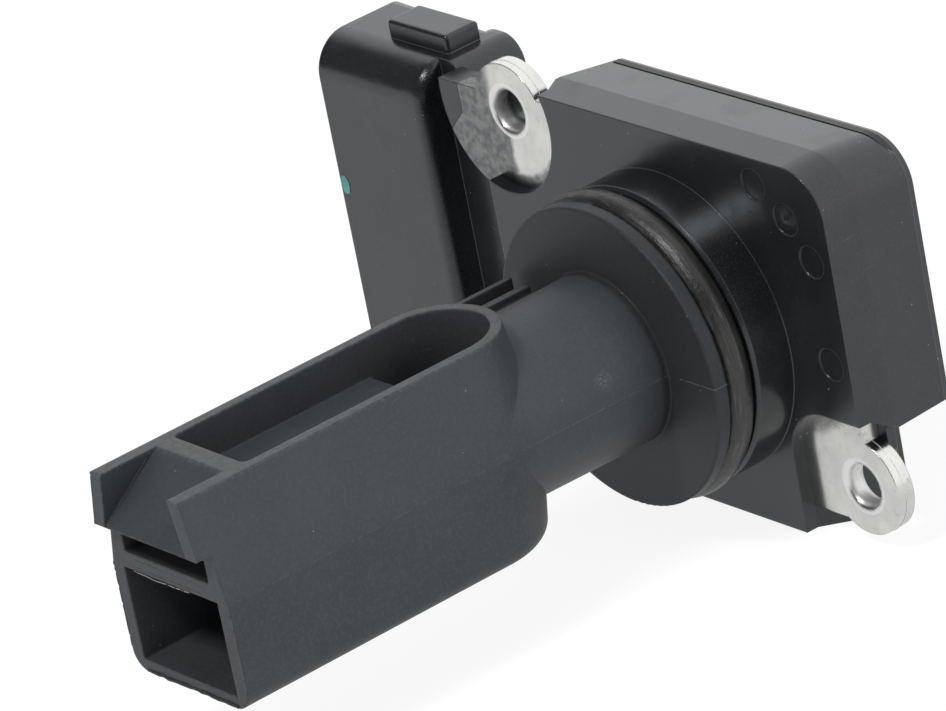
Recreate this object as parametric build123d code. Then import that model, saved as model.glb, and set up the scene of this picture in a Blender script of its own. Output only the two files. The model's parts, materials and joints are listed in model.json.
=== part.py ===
"""Plug-in mass airflow sensor.

Frame: millimetres, +Z up. The probe's axis is the Y axis and its tip points to -Y.
The origin lies on that axis in the head's front face, the one that faces the intake pipe.
"""
from build123d import *
import math
import os

# --- Head: the moulded frame round the electronics -----------------------------------------
HEAD_LEFT = -17.5               # outer wall beside the upper fixing ear
HEAD_RIGHT = 23.5
HEAD_TOP = 19.8
HEAD_BOTTOM = -19.4
HEAD_CORNER_RADIUS = 5.0
HEAD_DEPTH = 11.35              # front face to the back of the cover
PARTING_DEPTH = 4.0             # where the outer walls are widest
FRONT_DRAFT = 1.2               # degrees, parting plane to front face
BACK_TOP_DRAFT = 0.94           # how far the top and bottom draw in towards the back
BACK_SIDE_DRAFT = 0.4           # how far the sides draw in towards the back
HEAD_WALL = 2.3
FACE_LEFT = -26.4               # left edge of the front face, below the upper ear
FACE_RADIUS = 3.0
EJECTOR_RADIUS = 1.65
EJECTOR_DEPTH = 0.15
DIMPLE_RADIUS = 0.45

# --- Aluminium plate with two fixing ears --------------------------------------------------
PLATE_FRONT = 1.4
PLATE_THICKNESS = 1.9
EAR_RADIUS = 4.93
EAR_HOLE_RADIUS = 2.08
EAR_CHAMFER = 0.36
UPPER_EAR_X = -23.1
UPPER_EAR_Z = 16.1
LOWER_EAR_X = 20.7
LOWER_EAR_Z = -13.05
UPPER_RELIEF_RADIUS = 8.0       # clear room in the moulding round the upper ear
UPPER_RELIEF_SHIFT = 0.25       # its middle lies this far left of the ear's
UPPER_FILL_TOP = 18.1           # the plate fills that room on the right up to here
UPPER_COVE_RADIUS = 6.6         # where that room's coved edge ends in the top
UPPER_ROOT_RADIUS = 9.45        # outer curve of the upper ear's root
UPPER_ROOT_SHIFT = 1.0          # that curve's middle lies this far left of the ear's
UPPER_ROOT_LEFT = -30.6
UPPER_ROOT_TOP = 17.55
UPPER_ROOT_STEP = 3.1           # height of the root's upright left edge
LOWER_ROOT_RIGHT = 22.0
LOWER_ROOT_BOTTOM = -17.0
CARRIER_RADIUS = 2.0            # corners of the plate's hidden part
ARM_BOTTOM = -8.0
STEM_COVER = 1.5                # moulding over the sides of the upper ear's stem
CARRIER_GAP = 0.5

# --- Notch in the moulding for the lower ear -----------------------------------------------
NOTCH_TOP_FRONT = -5.75
NOTCH_TOP_BACK = -7.6
NOTCH_LEFT_FRONT = 12.95
NOTCH_LEFT_BACK = 15.0
NOTCH_SLOPE_DEPTH = 4.35        # where the notch's sloping sides end
NOTCH_CORNER_RADIUS = 5.5
TAB_WIDTH = 2.2                 # small tab behind the lower ear's root
TAB_BOTTOM = -10.3
TAB_RADIUS = 0.9

# --- Connector ------------------------------------------------------------------------------
SHROUD_MOUTH = -52.0
SHROUD_END = -36.0
SHROUD_FRONT = 0.5
SHROUD_HALF_HEIGHT = 18.1
SHROUD_BACK = 12.3              # at the mouth
SHROUD_BACK_END = 11.4          # at the bridge, as the back is drafted
SHROUD_FRONT_RADIUS = 4.0
SHROUD_BACK_RADIUS = 1.5
SHROUD_END_RADIUS = 0.7
SOCKET_DEPTH = 11.0
SOCKET_WALL_FRONT = 2.0
SOCKET_WALL_BACK = 3.15
SOCKET_WALL_ENDS = 2.4
SOCKET_RADIUS = 2.4
WEB_FRONT = 3.8                 # front of the bridge between connector and head
WEB_BACK = 9.6
WEB_RIB = 1.3
WEB_EDGE = 0.95                 # bridge beyond the outer blades
WEB_FOOT = 0.6                  # bridge ends this far inside the connector's bottom
WEB_RADIUS = 2.5
WEB_POCKET_DEPTH = 2.4
WEB_POCKET_RADIUS = 0.7
STUB_LENGTH = 3.6               # block at the bridge's top, beside the upper ear
STUB_ROOT = 3.0
STUB_RADIUS = 2.8
LATCH_START = -45.0
LATCH_END = -35.8
LATCH_FRONT = 4.8
LATCH_BACK = 9.1
LATCH_HEIGHT = 1.9
LATCH_RADIUS = 0.4
LATCH_ROOT = 1.0

BLADE_COUNT = 5
BLADE_SIDE_ROOM = 7.7           # from the socket's ends to the outer blades' middles
BLADE_WIDTH = 2.3
BLADE_THICKNESS = 0.64
BLADE_SETBACK = 2.2             # blade tips lie this far inside the mouth
BLADE_PAD_LENGTH = 2.4          # length that stands free inside the head

# --- Boss, seal and disc -------------------------------------------------------------------
BOSS_RADIUS = 15.3
BOSS_LENGTH = 4.5
DISC_RADIUS = 15.2
DISC_THICKNESS = 1.6
DISC_EDGE_RADIUS = 0.25
BOSS_CHAMFER = 0.3
JOIN = 0.5                      # depth by which forms of one moulding run into each other
SEAL_SECTION_RADIUS = 1.55
SEAL_SIDE_CLEARANCE = 0.1
SEAL_FIT_CLEARANCE = 0.02
SEAL_OUTER_RADIUS = 15.65
PLUG_RADIUS = 11.0              # plug of the probe in the boss
PLUG_LENGTH = 3.4
PLUG_CLEARANCE = 0.05
NECK_RADIUS_AT_DISC = 8.68
NECK_RADIUS_AT_DUCT = 8.4

# --- Bypass duct ----------------------------------------------------------------------------
DUCT_TOP = 10.73
DUCT_KINK = 0.3                 # height where the sides turn from sloping to upright
DUCT_BOTTOM = -10.5
DUCT_TOP_HALF_WIDTH = 6.44
DUCT_HALF_WIDTH = 8.55
DUCT_BOTTOM_RADIUS = 1.9
DUCT_TOP_END_CENTRE = -28.56    # centre of the rounded end, at the top
DUCT_KINK_END_CENTRE = -28.8    # at the kink
DUCT_LOW_END_CENTRE = -30.5     # and at the bottom
DUCT_FACE = -62.0               # end face with the outlets
DUCT_TIP = -63.65               # tips of the two side walls
DUCT_WALL = 1.5
LIP_HEIGHT = 5.15               # underside of the tips and of the lip between them
RAMP_TOP = -57.1
RAMP_KNEE = -62.6
RAMP_KNEE_HEIGHT = 6.15
INLET_HALF_WIDTH = 5.35
INLET_START = -55.07
INLET_CORNER_RADIUS = 0.8
INLET_SHELF_HEIGHT = 6.75
INLET_SHELF_END = -32.5
OUTLET_HALF_WIDTH = 7.0
OUTLET_TOP = 0.25
OUTLET_BOTTOM = -9.3
SLOT_HALF_WIDTH = 6.3
SLOT_BOTTOM = 1.95
SLOT_TOP = 4.3
PARTITION_LEFT = -5.4
PARTITION_RIGHT = 5.4
PARTITION_THICKNESS = 0.8
PARTITION_END = -35.0

# --- Guard beside the neck and the air temperature thermistor ------------------------------
GUARD_TOP = 6.0
GUARD_BOTTOM = -2.0
GUARD_OUTER = -12.15
GUARD_THICKNESS = 0.6
GUARD_END = -10.3
GUARD_START = -27.0
GUARD_BRIDGE = 2.0              # length of the piece that joins the bar to the neck
LEDGE_OUTER = -9.4
LEDGE_WIDTH = 0.9
LEDGE_THICKNESS = 1.2
LEDGE_DROP = 0.7                # groove between ledge and neck
LEDGE_END = -10.6
BEAD_RADIUS = 0.8
BEAD_Y = -17.0
LEAD_RADIUS = 0.22
LEAD_SPACING = 1.1
LEAD_BEND_RADIUS = 1.6
LEAD_X = -5.6
LEAD_HEIGHT = 4.2

# --- Sensing stem, posts and elements ------------------------------------------------------
STEM_HALF_WIDTH = 4.2
STEM_TOP = -0.8
STEM_BOTTOM = -5.2
STEM_REACH = 1.2                # how far the stem stands into the duct
POST_COUNT = 4
POST_PITCH = 2.2
POST_SIZE = 0.7
POST_REACHES = (5.0, 3.4, 3.4, 5.0)
POST_PAD_LENGTH = 1.6
HOT_WIRE_RADIUS = 0.35
COLD_WIRE_RADIUS = 0.35
ELEMENT_SEAT = 0.5              # distance from the post's tip to the element's axis

# --- Electronics ----------------------------------------------------------------------------
ADHESIVE_THICKNESS = 0.15
BOARD_THICKNESS = 0.8
BOARD_LEFT = -11.4
BOARD_RIGHT = 19.4
BOARD_BOTTOM = 0.4
BOARD_TOP = 15.8
CHIP_SIZE = 7.0
CHIP_THICKNESS = 1.4
CHIP_X = -1.0
TRANSISTOR_WIDTH = 6.0
TRANSISTOR_HEIGHT = 6.5
TRANSISTOR_THICKNESS = 2.2
TRANSISTOR_X = 13.4
CAPACITOR_COUNT = 5
CAPACITOR_PITCH = 2.4
CAPACITOR_SIZE = (1.25, 2.0, 0.9)
RESISTOR_COUNT = 7
RESISTOR_PITCH = 2.5
RESISTOR_SIZE = (1.6, 0.8, 0.5)
WIRE_WIDTH = 0.24
WIRE_PAD_INSET = 0.8
WIRE_HEIGHT = 0.9               # wires rise this far above their pads
GEL_COVER = 0.6                 # gel over the tallest part

# --- Cover ----------------------------------------------------------------------------------
COVER_EDGE = 0.6
COVER_LIP = 1.1
COVER_LIP_WIDTH = 1.4
COVER_CLEARANCE = 0.15
GROOVE_WIDTH = 0.9
GROOVE_DEPTH = 0.7

# --- Places worked out from the sizes above ------------------------------------------------
PLATE_BACK = PLATE_FRONT + PLATE_THICKNESS
RIM = HEAD_DEPTH - COVER_EDGE
BOSS_FRONT = -BOSS_LENGTH
SEAL_GROOVE = 2 * (SEAL_SECTION_RADIUS + SEAL_SIDE_CLEARANCE)
DISC_BACK = BOSS_FRONT - SEAL_GROOVE
DISC_FRONT = DISC_BACK - DISC_THICKNESS
HUB_RADIUS = SEAL_OUTER_RADIUS - 2 * SEAL_SECTION_RADIUS - SEAL_FIT_CLEARANCE
CHANNEL_END = DUCT_LOW_END_CENTRE + DUCT_HALF_WIDTH - DUCT_WALL
BOARD_FRONT = PLATE_BACK + ADHESIVE_THICKNESS
BOARD_BACK = BOARD_FRONT + BOARD_THICKNESS
BOARD_MIDDLE = (BOARD_BOTTOM + BOARD_TOP) / 2
SHROUD_MIDDLE = (SHROUD_FRONT + SOCKET_WALL_FRONT + SHROUD_BACK - SOCKET_WALL_BACK) / 2
SOCKET_HALF_HEIGHT = SHROUD_HALF_HEIGHT - SOCKET_WALL_ENDS
BLADE_PITCH = 2 * (SOCKET_HALF_HEIGHT - BLADE_SIDE_ROOM) / (BLADE_COUNT - 1)
BLADE_ROOT = HEAD_LEFT + HEAD_WALL
FAR = 100.0                     # longer than any part, for cutting right through


def depth_plane(y):
    """Sketch plane at depth y: sketches read as (x, z) and extrude towards the probe's tip."""
    return Plane(origin=(0, y, 0), x_dir=(1, 0, 0), z_dir=(0, -1, 0))


def slab(sketch, front, back):
    """Solid of an (x, z) sketch between two depths."""
    return extrude(depth_plane(back) * sketch, back - front)


def block(x0, x1, y0, y1, z0, z1):
    """Box given by its limits."""
    centre = ((x0 + x1) / 2, (y0 + y1) / 2, (z0 + z1) / 2)
    return Pos(*centre) * Box(x1 - x0, y1 - y0, z1 - z0)


def area(x0, x1, z0, z1):
    """Rectangle in a sketch, given by its limits."""
    return Pos((x0 + x1) / 2, (z0 + z1) / 2) * Rectangle(x1 - x0, z1 - z0)


def rounded_area(x0, x1, z0, z1, radius):
    """Rectangle with rounded corners in a sketch, given by its limits."""
    return Pos((x0 + x1) / 2, (z0 + z1) / 2) * RectangleRounded(x1 - x0, z1 - z0, radius)


def rod(radius, front, back, x=0.0, z=0.0):
    """Round bar along the probe's axis direction."""
    return slab(Pos(x, z) * Circle(radius), front, back)


# --- Head and connector ---------------------------------------------------------------------
def notch_area(left, top):
    """Corner of the head that is left out for the lower ear."""
    size = FAR / 2
    return rounded_area(left, left + size, top - size, top, NOTCH_CORNER_RADIUS)


def head_outline(draw_sides, draw_ends):
    """Head's outline without the notch, drawn in: three round corners and a sharp one."""
    left, right = HEAD_LEFT + draw_sides, HEAD_RIGHT - draw_sides
    bottom, top = HEAD_BOTTOM + draw_ends, HEAD_TOP - draw_ends
    radius = HEAD_CORNER_RADIUS - draw_sides
    return rounded_area(left, right, bottom, top, radius) + area(left, left + radius, top - radius, top)


def head_area(inset=0.0):
    """Outline of the head behind the plate, drawn in by an inset."""
    outline = head_outline(0, 0) - notch_area(NOTCH_LEFT_BACK, NOTCH_TOP_BACK)
    return offset(outline, -inset) if inset else outline


def drafted_head():
    """Head's outer block: widest at the parting plane, drawn in to the front and the back."""
    widest = head_outline(0, 0)
    draw = PARTING_DEPTH * math.tan(math.radians(FRONT_DRAFT))
    face = head_outline(draw, draw)
    back = head_outline(BACK_SIDE_DRAFT, BACK_TOP_DRAFT)
    front_half = loft([depth_plane(PARTING_DEPTH) * widest, depth_plane(0) * face])
    back_half = loft([depth_plane(HEAD_DEPTH) * back, depth_plane(PARTING_DEPTH) * widest])
    return front_half + back_half


def face_extension():
    """Front part of the head that reaches left under the upper ear."""
    outline = rounded_area(FACE_LEFT, 0, HEAD_BOTTOM + 1, UPPER_EAR_Z, FACE_RADIUS)
    return slab(outline, 0, WEB_FRONT + JOIN)


def web():
    """Bridge between connector and head, and the block beside the upper ear."""
    low = -SHROUD_HALF_HEIGHT + WEB_FOOT
    high = blade_height(BLADE_COUNT - 1) + BLADE_WIDTH / 2 + WEB_EDGE
    body = slab(rounded_area(SHROUD_END - 1, 0, low, high, WEB_RADIUS), WEB_FRONT, WEB_BACK)
    stub = slab(rounded_area(SHROUD_END - STUB_ROOT, SHROUD_END + STUB_LENGTH, 0, SHROUD_HALF_HEIGHT,
                             STUB_RADIUS), WEB_FRONT, SHROUD_BACK_END - JOIN / 4)
    return body + stub


def blade_height(index):
    """Height of one blade in the connector's row."""
    return (index - (BLADE_COUNT - 1) / 2) * BLADE_PITCH


def web_pockets():
    """Coring pockets in the back of the bridge, one behind each blade."""
    depth = WEB_BACK - WEB_POCKET_DEPTH
    left = SHROUD_END + STUB_LENGTH + WEB_RIB
    right = HEAD_LEFT - WEB_RIB
    half = (BLADE_PITCH - WEB_RIB) / 2
    pockets = []
    for index in range(BLADE_COUNT):
        middle = blade_height(index)
        outline = rounded_area(left, right, middle - half, middle + half, WEB_POCKET_RADIUS)
        pockets.append(slab(outline, depth, FAR))
    return pockets


def shroud_section(place, back):
    """Outline of the shroud at one place along the connector."""
    frame = Plane(origin=(place, 0, 0), x_dir=(0, 1, 0), z_dir=(1, 0, 0))
    profile = Pos((SHROUD_FRONT + back) / 2, 0) * Rectangle(back - SHROUD_FRONT, 2 * SHROUD_HALF_HEIGHT)
    corners = profile.vertices().sort_by(Axis.X)
    profile = fillet(corners[:2], SHROUD_FRONT_RADIUS)
    corners = profile.vertices().sort_by(Axis.X)
    return frame * fillet(corners[-2:], SHROUD_BACK_RADIUS)


def shroud():
    """Connector shroud with its rounded long edges, drafted on its back."""
    body = loft([shroud_section(SHROUD_MOUTH, SHROUD_BACK), shroud_section(SHROUD_END, SHROUD_BACK_END)])
    return fillet(body.faces().sort_by(Axis.X)[-1].edges(), SHROUD_END_RADIUS)


def socket():
    """Hollow of the connector, open at its mouth."""
    frame = Plane(origin=(SHROUD_MOUTH - 1, 0, 0), x_dir=(0, 1, 0), z_dir=(1, 0, 0))
    depth = SHROUD_BACK - SOCKET_WALL_BACK - SHROUD_FRONT - SOCKET_WALL_FRONT
    mouth = Pos(SHROUD_MIDDLE, 0) * RectangleRounded(depth, 2 * SOCKET_HALF_HEIGHT, SOCKET_RADIUS)
    return extrude(frame * mouth, SOCKET_DEPTH + 1)


def latch_tab():
    """Tab on top of the connector that the plug's latch hooks over."""
    top = SHROUD_HALF_HEIGHT + LATCH_HEIGHT
    tab = block(LATCH_START, LATCH_END, LATCH_FRONT, LATCH_BACK, SHROUD_HALF_HEIGHT - LATCH_ROOT, top)
    edges = tab.edges().filter_by(lambda edge: (edge @ 0.5).Z > SHROUD_HALF_HEIGHT - LATCH_ROOT + 0.1)
    return fillet(edges, LATCH_RADIUS)


def ejector_marks():
    """Shallow rounds that the mould's ejector pins leave in the front face."""
    places = ((14.1, 17.0), (17.9, 14.3), (20.65, 10.6), (20.9, 0.2))
    marks = [rod(EJECTOR_RADIUS, -1, EJECTOR_DEPTH, x, z) for x, z in places]
    dimple_x, dimple_z = places[1]
    marks.append(rod(DIMPLE_RADIUS, -1, 3 * EJECTOR_DEPTH, dimple_x, dimple_z))
    return marks


def ear_relief():
    """Clear room in the moulding round the upper ear, coved where it leaves the head's top."""
    middle_x = UPPER_EAR_X - UPPER_RELIEF_SHIFT
    clear = rod(UPPER_RELIEF_RADIUS, -FAR, PLATE_FRONT, middle_x, UPPER_EAR_Z)
    rings = [depth_plane(PLATE_FRONT) * Pos(middle_x, UPPER_EAR_Z) * Circle(UPPER_RELIEF_RADIUS),
             depth_plane(PARTING_DEPTH) * Pos(middle_x, UPPER_EAR_Z) * Circle(UPPER_COVE_RADIUS)]
    cove = loft(rings) & slab(area(-FAR, 0, UPPER_ROOT_TOP, FAR), 0, FAR)
    return clear + cove


def notch():
    """Room for the lower ear: upright in front of the plate, sloping behind it."""
    front = slab(notch_area(NOTCH_LEFT_FRONT, NOTCH_TOP_FRONT), -FAR, PLATE_FRONT)
    rings = [depth_plane(NOTCH_SLOPE_DEPTH) * notch_area(NOTCH_LEFT_BACK, NOTCH_TOP_BACK),
             depth_plane(PLATE_FRONT) * notch_area(NOTCH_LEFT_FRONT, NOTCH_TOP_FRONT)]
    back = slab(notch_area(NOTCH_LEFT_BACK, NOTCH_TOP_BACK), NOTCH_SLOPE_DEPTH, FAR)
    return front + loft(rings) + back


def notch_tab():
    """Small tab of the moulding that stands behind the lower ear's root."""
    right = HEAD_RIGHT - BACK_SIDE_DRAFT
    outline = rounded_area(right - TAB_WIDTH, right, TAB_BOTTOM, NOTCH_TOP_BACK + 1, TAB_RADIUS)
    return slab(outline, PLATE_BACK, NOTCH_SLOPE_DEPTH)


def root_skin():
    """Moulding beside the upper ear's root, as thick as the plate."""
    return slab(upper_root_sweep(), PLATE_FRONT, WEB_FRONT + JOIN)


def sensor_housing():
    """Black moulding: head frame, boss, bridge, connector shroud and latch tab in one piece."""
    body = drafted_head() + face_extension() + web() + shroud() + latch_tab()
    boss = rod(BOSS_RADIUS, BOSS_FRONT, 1)
    boss = chamfer(boss.edges().group_by(Axis.Y)[0], BOSS_CHAMFER)
    body += boss
    body -= ear_relief()
    body += root_skin()
    body -= notch()
    body += notch_tab()
    body -= socket()
    body -= web_pockets()
    body -= slab(head_area(HEAD_WALL), PLATE_BACK, FAR)
    body -= slab(head_area(), RIM, FAR) - block(-FAR, HEAD_LEFT, -FAR, FAR, -FAR, FAR)
    body -= sealant_ring()
    body -= rod(PLUG_RADIUS + PLUG_CLEARANCE, -FAR, BOSS_FRONT + PLUG_LENGTH)
    body -= stem_area_solid(PLUG_CLEARANCE)
    body -= ejector_marks()
    body -= base_plate_blank()
    body -= [blade(index) for index in range(BLADE_COUNT)]
    body -= lead_pair()
    return body


def sealant_ring():
    """Bead in the rim's groove."""
    middle = HEAD_WALL / 2
    outer = head_area(middle - GROOVE_WIDTH / 2)
    inner = head_area(middle + GROOVE_WIDTH / 2)
    return slab(outer - inner, RIM - GROOVE_DEPTH, RIM)


def rear_cover():
    """Lid over the head's open back, flush with its sides, with a lip inside the wall."""
    lid = slab(head_area(), RIM, HEAD_DEPTH) & drafted_head()
    outer = head_area(HEAD_WALL + COVER_CLEARANCE)
    inner = head_area(HEAD_WALL + COVER_CLEARANCE + COVER_LIP_WIDTH)
    return lid + slab(outer - inner, RIM - COVER_LIP, RIM)


# --- Aluminium plate -------------------------------------------------------------------------
def upper_root_sweep():
    """Full sweep of the upper ear's root, with the part that the moulding covers."""
    disc = Pos(UPPER_EAR_X - UPPER_ROOT_SHIFT, UPPER_EAR_Z) * Circle(UPPER_ROOT_RADIUS)
    return disc & area(-FAR, UPPER_EAR_X, -FAR, UPPER_ROOT_TOP)


def covered_root():
    """Part of the root's sweep that is moulding: upright edge above, slanting edge below."""
    low = UPPER_ROOT_TOP - UPPER_ROOT_STEP
    reach = UPPER_ROOT_RADIUS
    outline = Polyline((UPPER_ROOT_LEFT, UPPER_ROOT_TOP + 1), (UPPER_ROOT_LEFT, low),
                       (UPPER_ROOT_LEFT - reach, low - reach), (UPPER_ROOT_LEFT - reach, FAR),
                       (UPPER_ROOT_LEFT, FAR), close=True)
    return make_face(outline)


def plate_area():
    """Outline of the plate: carrier under the board, and the roots and lugs of both ears."""
    low = UPPER_EAR_Z - UPPER_RELIEF_RADIUS - STEM_COVER
    left = FACE_LEFT + STEM_COVER
    carrier = rounded_area(HEAD_LEFT + HEAD_WALL + CARRIER_GAP, LOWER_ROOT_RIGHT, LOWER_ROOT_BOTTOM,
                           HEAD_TOP - HEAD_WALL - 1, CARRIER_RADIUS)
    arm = rounded_area(left, 0, ARM_BOTTOM, low, CARRIER_RADIUS)
    lug = Pos(UPPER_EAR_X, UPPER_EAR_Z) * Circle(EAR_RADIUS)
    stem = area(left, UPPER_EAR_X, low - CARRIER_RADIUS, UPPER_EAR_Z)
    stem += area(UPPER_EAR_X, UPPER_EAR_X + UPPER_RELIEF_RADIUS + STEM_COVER, low - CARRIER_RADIUS,
                 UPPER_FILL_TOP)
    lower_lug = Pos(LOWER_EAR_X, LOWER_EAR_Z) * Circle(EAR_RADIUS)
    return carrier + arm + stem + lug + (upper_root_sweep() - covered_root()) + lower_lug


def base_plate_blank():
    """Plate without its screw holes, as the moulding closes round it."""
    return slab(plate_area(), PLATE_FRONT, PLATE_BACK)


def base_plate():
    """Aluminium plate that carries the board and ends in the two fixing ears."""
    plate = base_plate_blank()
    for x, z in ((UPPER_EAR_X, UPPER_EAR_Z), (LOWER_EAR_X, LOWER_EAR_Z)):
        plate -= rod(EAR_HOLE_RADIUS, -FAR, FAR, x, z)
    rims = plate.edges().filter_by(GeomType.CIRCLE)
    rims = rims.filter_by(lambda edge: abs(edge.radius - EAR_HOLE_RADIUS) < 1e-6)
    plate = chamfer(rims.group_by(Axis.Y)[0], EAR_CHAMFER)
    return plate - stem_area_solid(PLUG_CLEARANCE) - lead_pair()


# --- Probe: disc, neck, duct and guard ------------------------------------------------------
def duct_half_width(height):
    """Half-width of the duct's outside at a height above the kink."""
    slope = (DUCT_HALF_WIDTH - DUCT_TOP_HALF_WIDTH) / (DUCT_TOP - DUCT_KINK)
    return DUCT_HALF_WIDTH - slope * (height - DUCT_KINK)


def stadium(half_width, start, centre, height):
    """Sketch at a height, straight at its front end and round at its back end."""
    straight = Pos(0, (start + centre) / 2) * Rectangle(2 * half_width, centre - start)
    tail = Pos(0, centre) * Circle(half_width)
    tail -= Pos(0, centre - half_width) * Rectangle(2 * half_width, 2 * half_width)
    return Plane.XY.offset(height) * (straight + tail)


def duct_outside():
    """Duct without its channels: nearly upright below the kink, sloping in above it."""
    low = stadium(DUCT_HALF_WIDTH, DUCT_TIP, DUCT_LOW_END_CENTRE, DUCT_BOTTOM)
    middle = stadium(DUCT_HALF_WIDTH, DUCT_TIP, DUCT_KINK_END_CENTRE, DUCT_KINK)
    top = stadium(DUCT_TOP_HALF_WIDTH, DUCT_TIP, DUCT_TOP_END_CENTRE, DUCT_TOP)
    lower = loft([low, middle])
    long_edges = lower.edges().group_by(Axis.Z)[0].sort_by(Axis.Y)[1:]
    lower = fillet(long_edges, DUCT_BOTTOM_RADIUS)
    body = lower + loft([middle, top])
    return body - block(-FAR, FAR, DUCT_TIP - 1, DUCT_FACE, -FAR, LIP_HEIGHT)


def between_tip_walls():
    """Prism between the two sloping side walls at the tip."""
    low = duct_half_width(LIP_HEIGHT) - DUCT_WALL
    high = duct_half_width(DUCT_TOP + 1) - DUCT_WALL
    outline = Polyline((-low, LIP_HEIGHT), (low, LIP_HEIGHT), (high, DUCT_TOP + 1),
                       (-high, DUCT_TOP + 1), close=True)
    return slab(make_face(outline), DUCT_TIP - 1, RAMP_TOP)


def ramp():
    """Ramp at the tip that leads down to the lip, cut between the side walls."""
    outline = Polyline((RAMP_TOP, DUCT_TOP), (RAMP_KNEE, RAMP_KNEE_HEIGHT), (DUCT_TIP, LIP_HEIGHT),
                       (DUCT_TIP - 1, LIP_HEIGHT), (DUCT_TIP - 1, DUCT_TOP + 1),
                       (RAMP_TOP, DUCT_TOP + 1), close=True)
    across = extrude(Plane.YZ * make_face(outline), FAR, both=True)
    return across & between_tip_walls()


def inlet():
    """Long inlet in the top: a shelf first, then a well down to the main channel."""
    opening = stadium(INLET_HALF_WIDTH, INLET_START, DUCT_TOP_END_CENTRE, INLET_SHELF_HEIGHT)
    corners = opening.vertices().group_by(Axis.Y)[0]
    shelf = extrude(fillet(corners, INLET_CORNER_RADIUS), FAR)
    well = stadium(INLET_HALF_WIDTH, INLET_SHELF_END, DUCT_TOP_END_CENTRE, OUTLET_TOP - 1)
    return shelf + extrude(well, FAR)


def main_channel():
    """Channel from under the well to the outlet in the end face."""
    floor = stadium(OUTLET_HALF_WIDTH, DUCT_TIP - 1, CHANNEL_END - OUTLET_HALF_WIDTH, OUTLET_BOTTOM)
    return extrude(floor, OUTLET_TOP - OUTLET_BOTTOM)


def upper_slot():
    """Flat channel over the partition, from the end face back to the well."""
    return block(-SLOT_HALF_WIDTH, SLOT_HALF_WIDTH, DUCT_TIP - 1, INLET_SHELF_END + 1,
                 SLOT_BOTTOM, SLOT_TOP)


def bypass_partition():
    """Flat plate set in the wall between the upper slot and the main channel."""
    middle = (OUTLET_TOP + SLOT_BOTTOM) / 2
    half = PARTITION_THICKNESS / 2
    return block(PARTITION_LEFT, PARTITION_RIGHT, DUCT_FACE, PARTITION_END, middle - half, middle + half)


def neck():
    """Neck from the disc into the duct's round end."""
    rings = [depth_plane(DISC_FRONT) * Circle(NECK_RADIUS_AT_DISC),
             depth_plane(DUCT_LOW_END_CENTRE) * Circle(NECK_RADIUS_AT_DUCT)]
    return loft(rings)


def mounting_disc():
    """Disc, seal groove floor and the plug that sits in the boss."""
    disc = rod(DISC_RADIUS, DISC_FRONT, DISC_BACK)
    disc = fillet(disc.edges().filter_by(GeomType.CIRCLE), DISC_EDGE_RADIUS)
    hub = rod(HUB_RADIUS, DISC_BACK - JOIN, BOSS_FRONT)
    plug = rod(PLUG_RADIUS, BOSS_FRONT - JOIN, BOSS_FRONT + PLUG_LENGTH)
    return disc + hub + plug


def guard():
    """Bar and ledge that protect the thermistor beside the neck."""
    inside = -NECK_RADIUS_AT_DUCT + GUARD_BRIDGE
    bar = block(GUARD_OUTER, GUARD_OUTER + GUARD_THICKNESS, GUARD_START, GUARD_END,
                GUARD_BOTTOM, GUARD_TOP)
    bridge = block(GUARD_OUTER, inside, GUARD_START, GUARD_START + GUARD_BRIDGE,
                   GUARD_BOTTOM, GUARD_TOP)
    ledge = block(LEDGE_OUTER, LEDGE_OUTER + LEDGE_WIDTH, GUARD_START, LEDGE_END,
                  GUARD_TOP - LEDGE_THICKNESS, GUARD_TOP)
    floor = block(LEDGE_OUTER, inside + 1, GUARD_START, LEDGE_END,
                  GUARD_TOP - LEDGE_THICKNESS, GUARD_TOP - LEDGE_DROP)
    return bar + bridge + ledge + floor


def bypass_body():
    """Grey moulding: disc, neck, guard and the duct with its channels."""
    body = duct_outside() + neck() + mounting_disc() + guard()
    body -= ramp()
    body -= inlet()
    body -= main_channel()
    body -= upper_slot()
    body -= bypass_partition()
    body -= stem_area_solid(0)
    body -= lead_pair()
    return body


def seal_ring():
    """O-ring in the groove between disc and boss."""
    centre = SEAL_OUTER_RADIUS - SEAL_SECTION_RADIUS
    middle = (DISC_BACK + BOSS_FRONT) / 2
    return Plane(origin=(0, middle, 0), z_dir=(0, 1, 0)) * Torus(centre, SEAL_SECTION_RADIUS)


# --- Thermistor ------------------------------------------------------------------------------
def bead_centre():
    """Centre of the thermistor bead, midway between bar and ledge."""
    return Vector((GUARD_OUTER + GUARD_THICKNESS + LEDGE_OUTER) / 2, BEAD_Y, LEAD_HEIGHT)


def lead(side):
    """One wire from the board through the neck and out to the bead."""
    end = bead_centre()
    height = LEAD_HEIGHT + side * LEAD_SPACING / 2
    route = FilletPolyline((LEAD_X, BOARD_BACK + WIRE_HEIGHT, height), (LEAD_X, end.Y, height),
                           (end.X, end.Y, height), radius=LEAD_BEND_RADIUS)
    section = Plane(origin=route @ 0, z_dir=route % 0) * Circle(LEAD_RADIUS)
    return sweep(section, path=route)


def lead_pair():
    """Both wires of the thermistor."""
    return [lead(-1), lead(1)]


def thermistor_bead():
    """Glass bead on the ends of its two wires."""
    end = bead_centre()
    bead = Pos(end.X, end.Y, end.Z) * Cylinder(BEAD_RADIUS, LEAD_SPACING + 1.2)
    bead = fillet(bead.edges().filter_by(GeomType.CIRCLE), 0.45)
    return bead - lead_pair()


# --- Sensing stem and elements ---------------------------------------------------------------
def stem_area_solid(clearance):
    """Room of the sensing stem, from the duct to the back of the plate."""
    section = area(-STEM_HALF_WIDTH - clearance, STEM_HALF_WIDTH + clearance,
                   STEM_BOTTOM - clearance, STEM_TOP + clearance)
    return slab(section, CHANNEL_END - STEM_REACH, PLATE_BACK)


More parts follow.
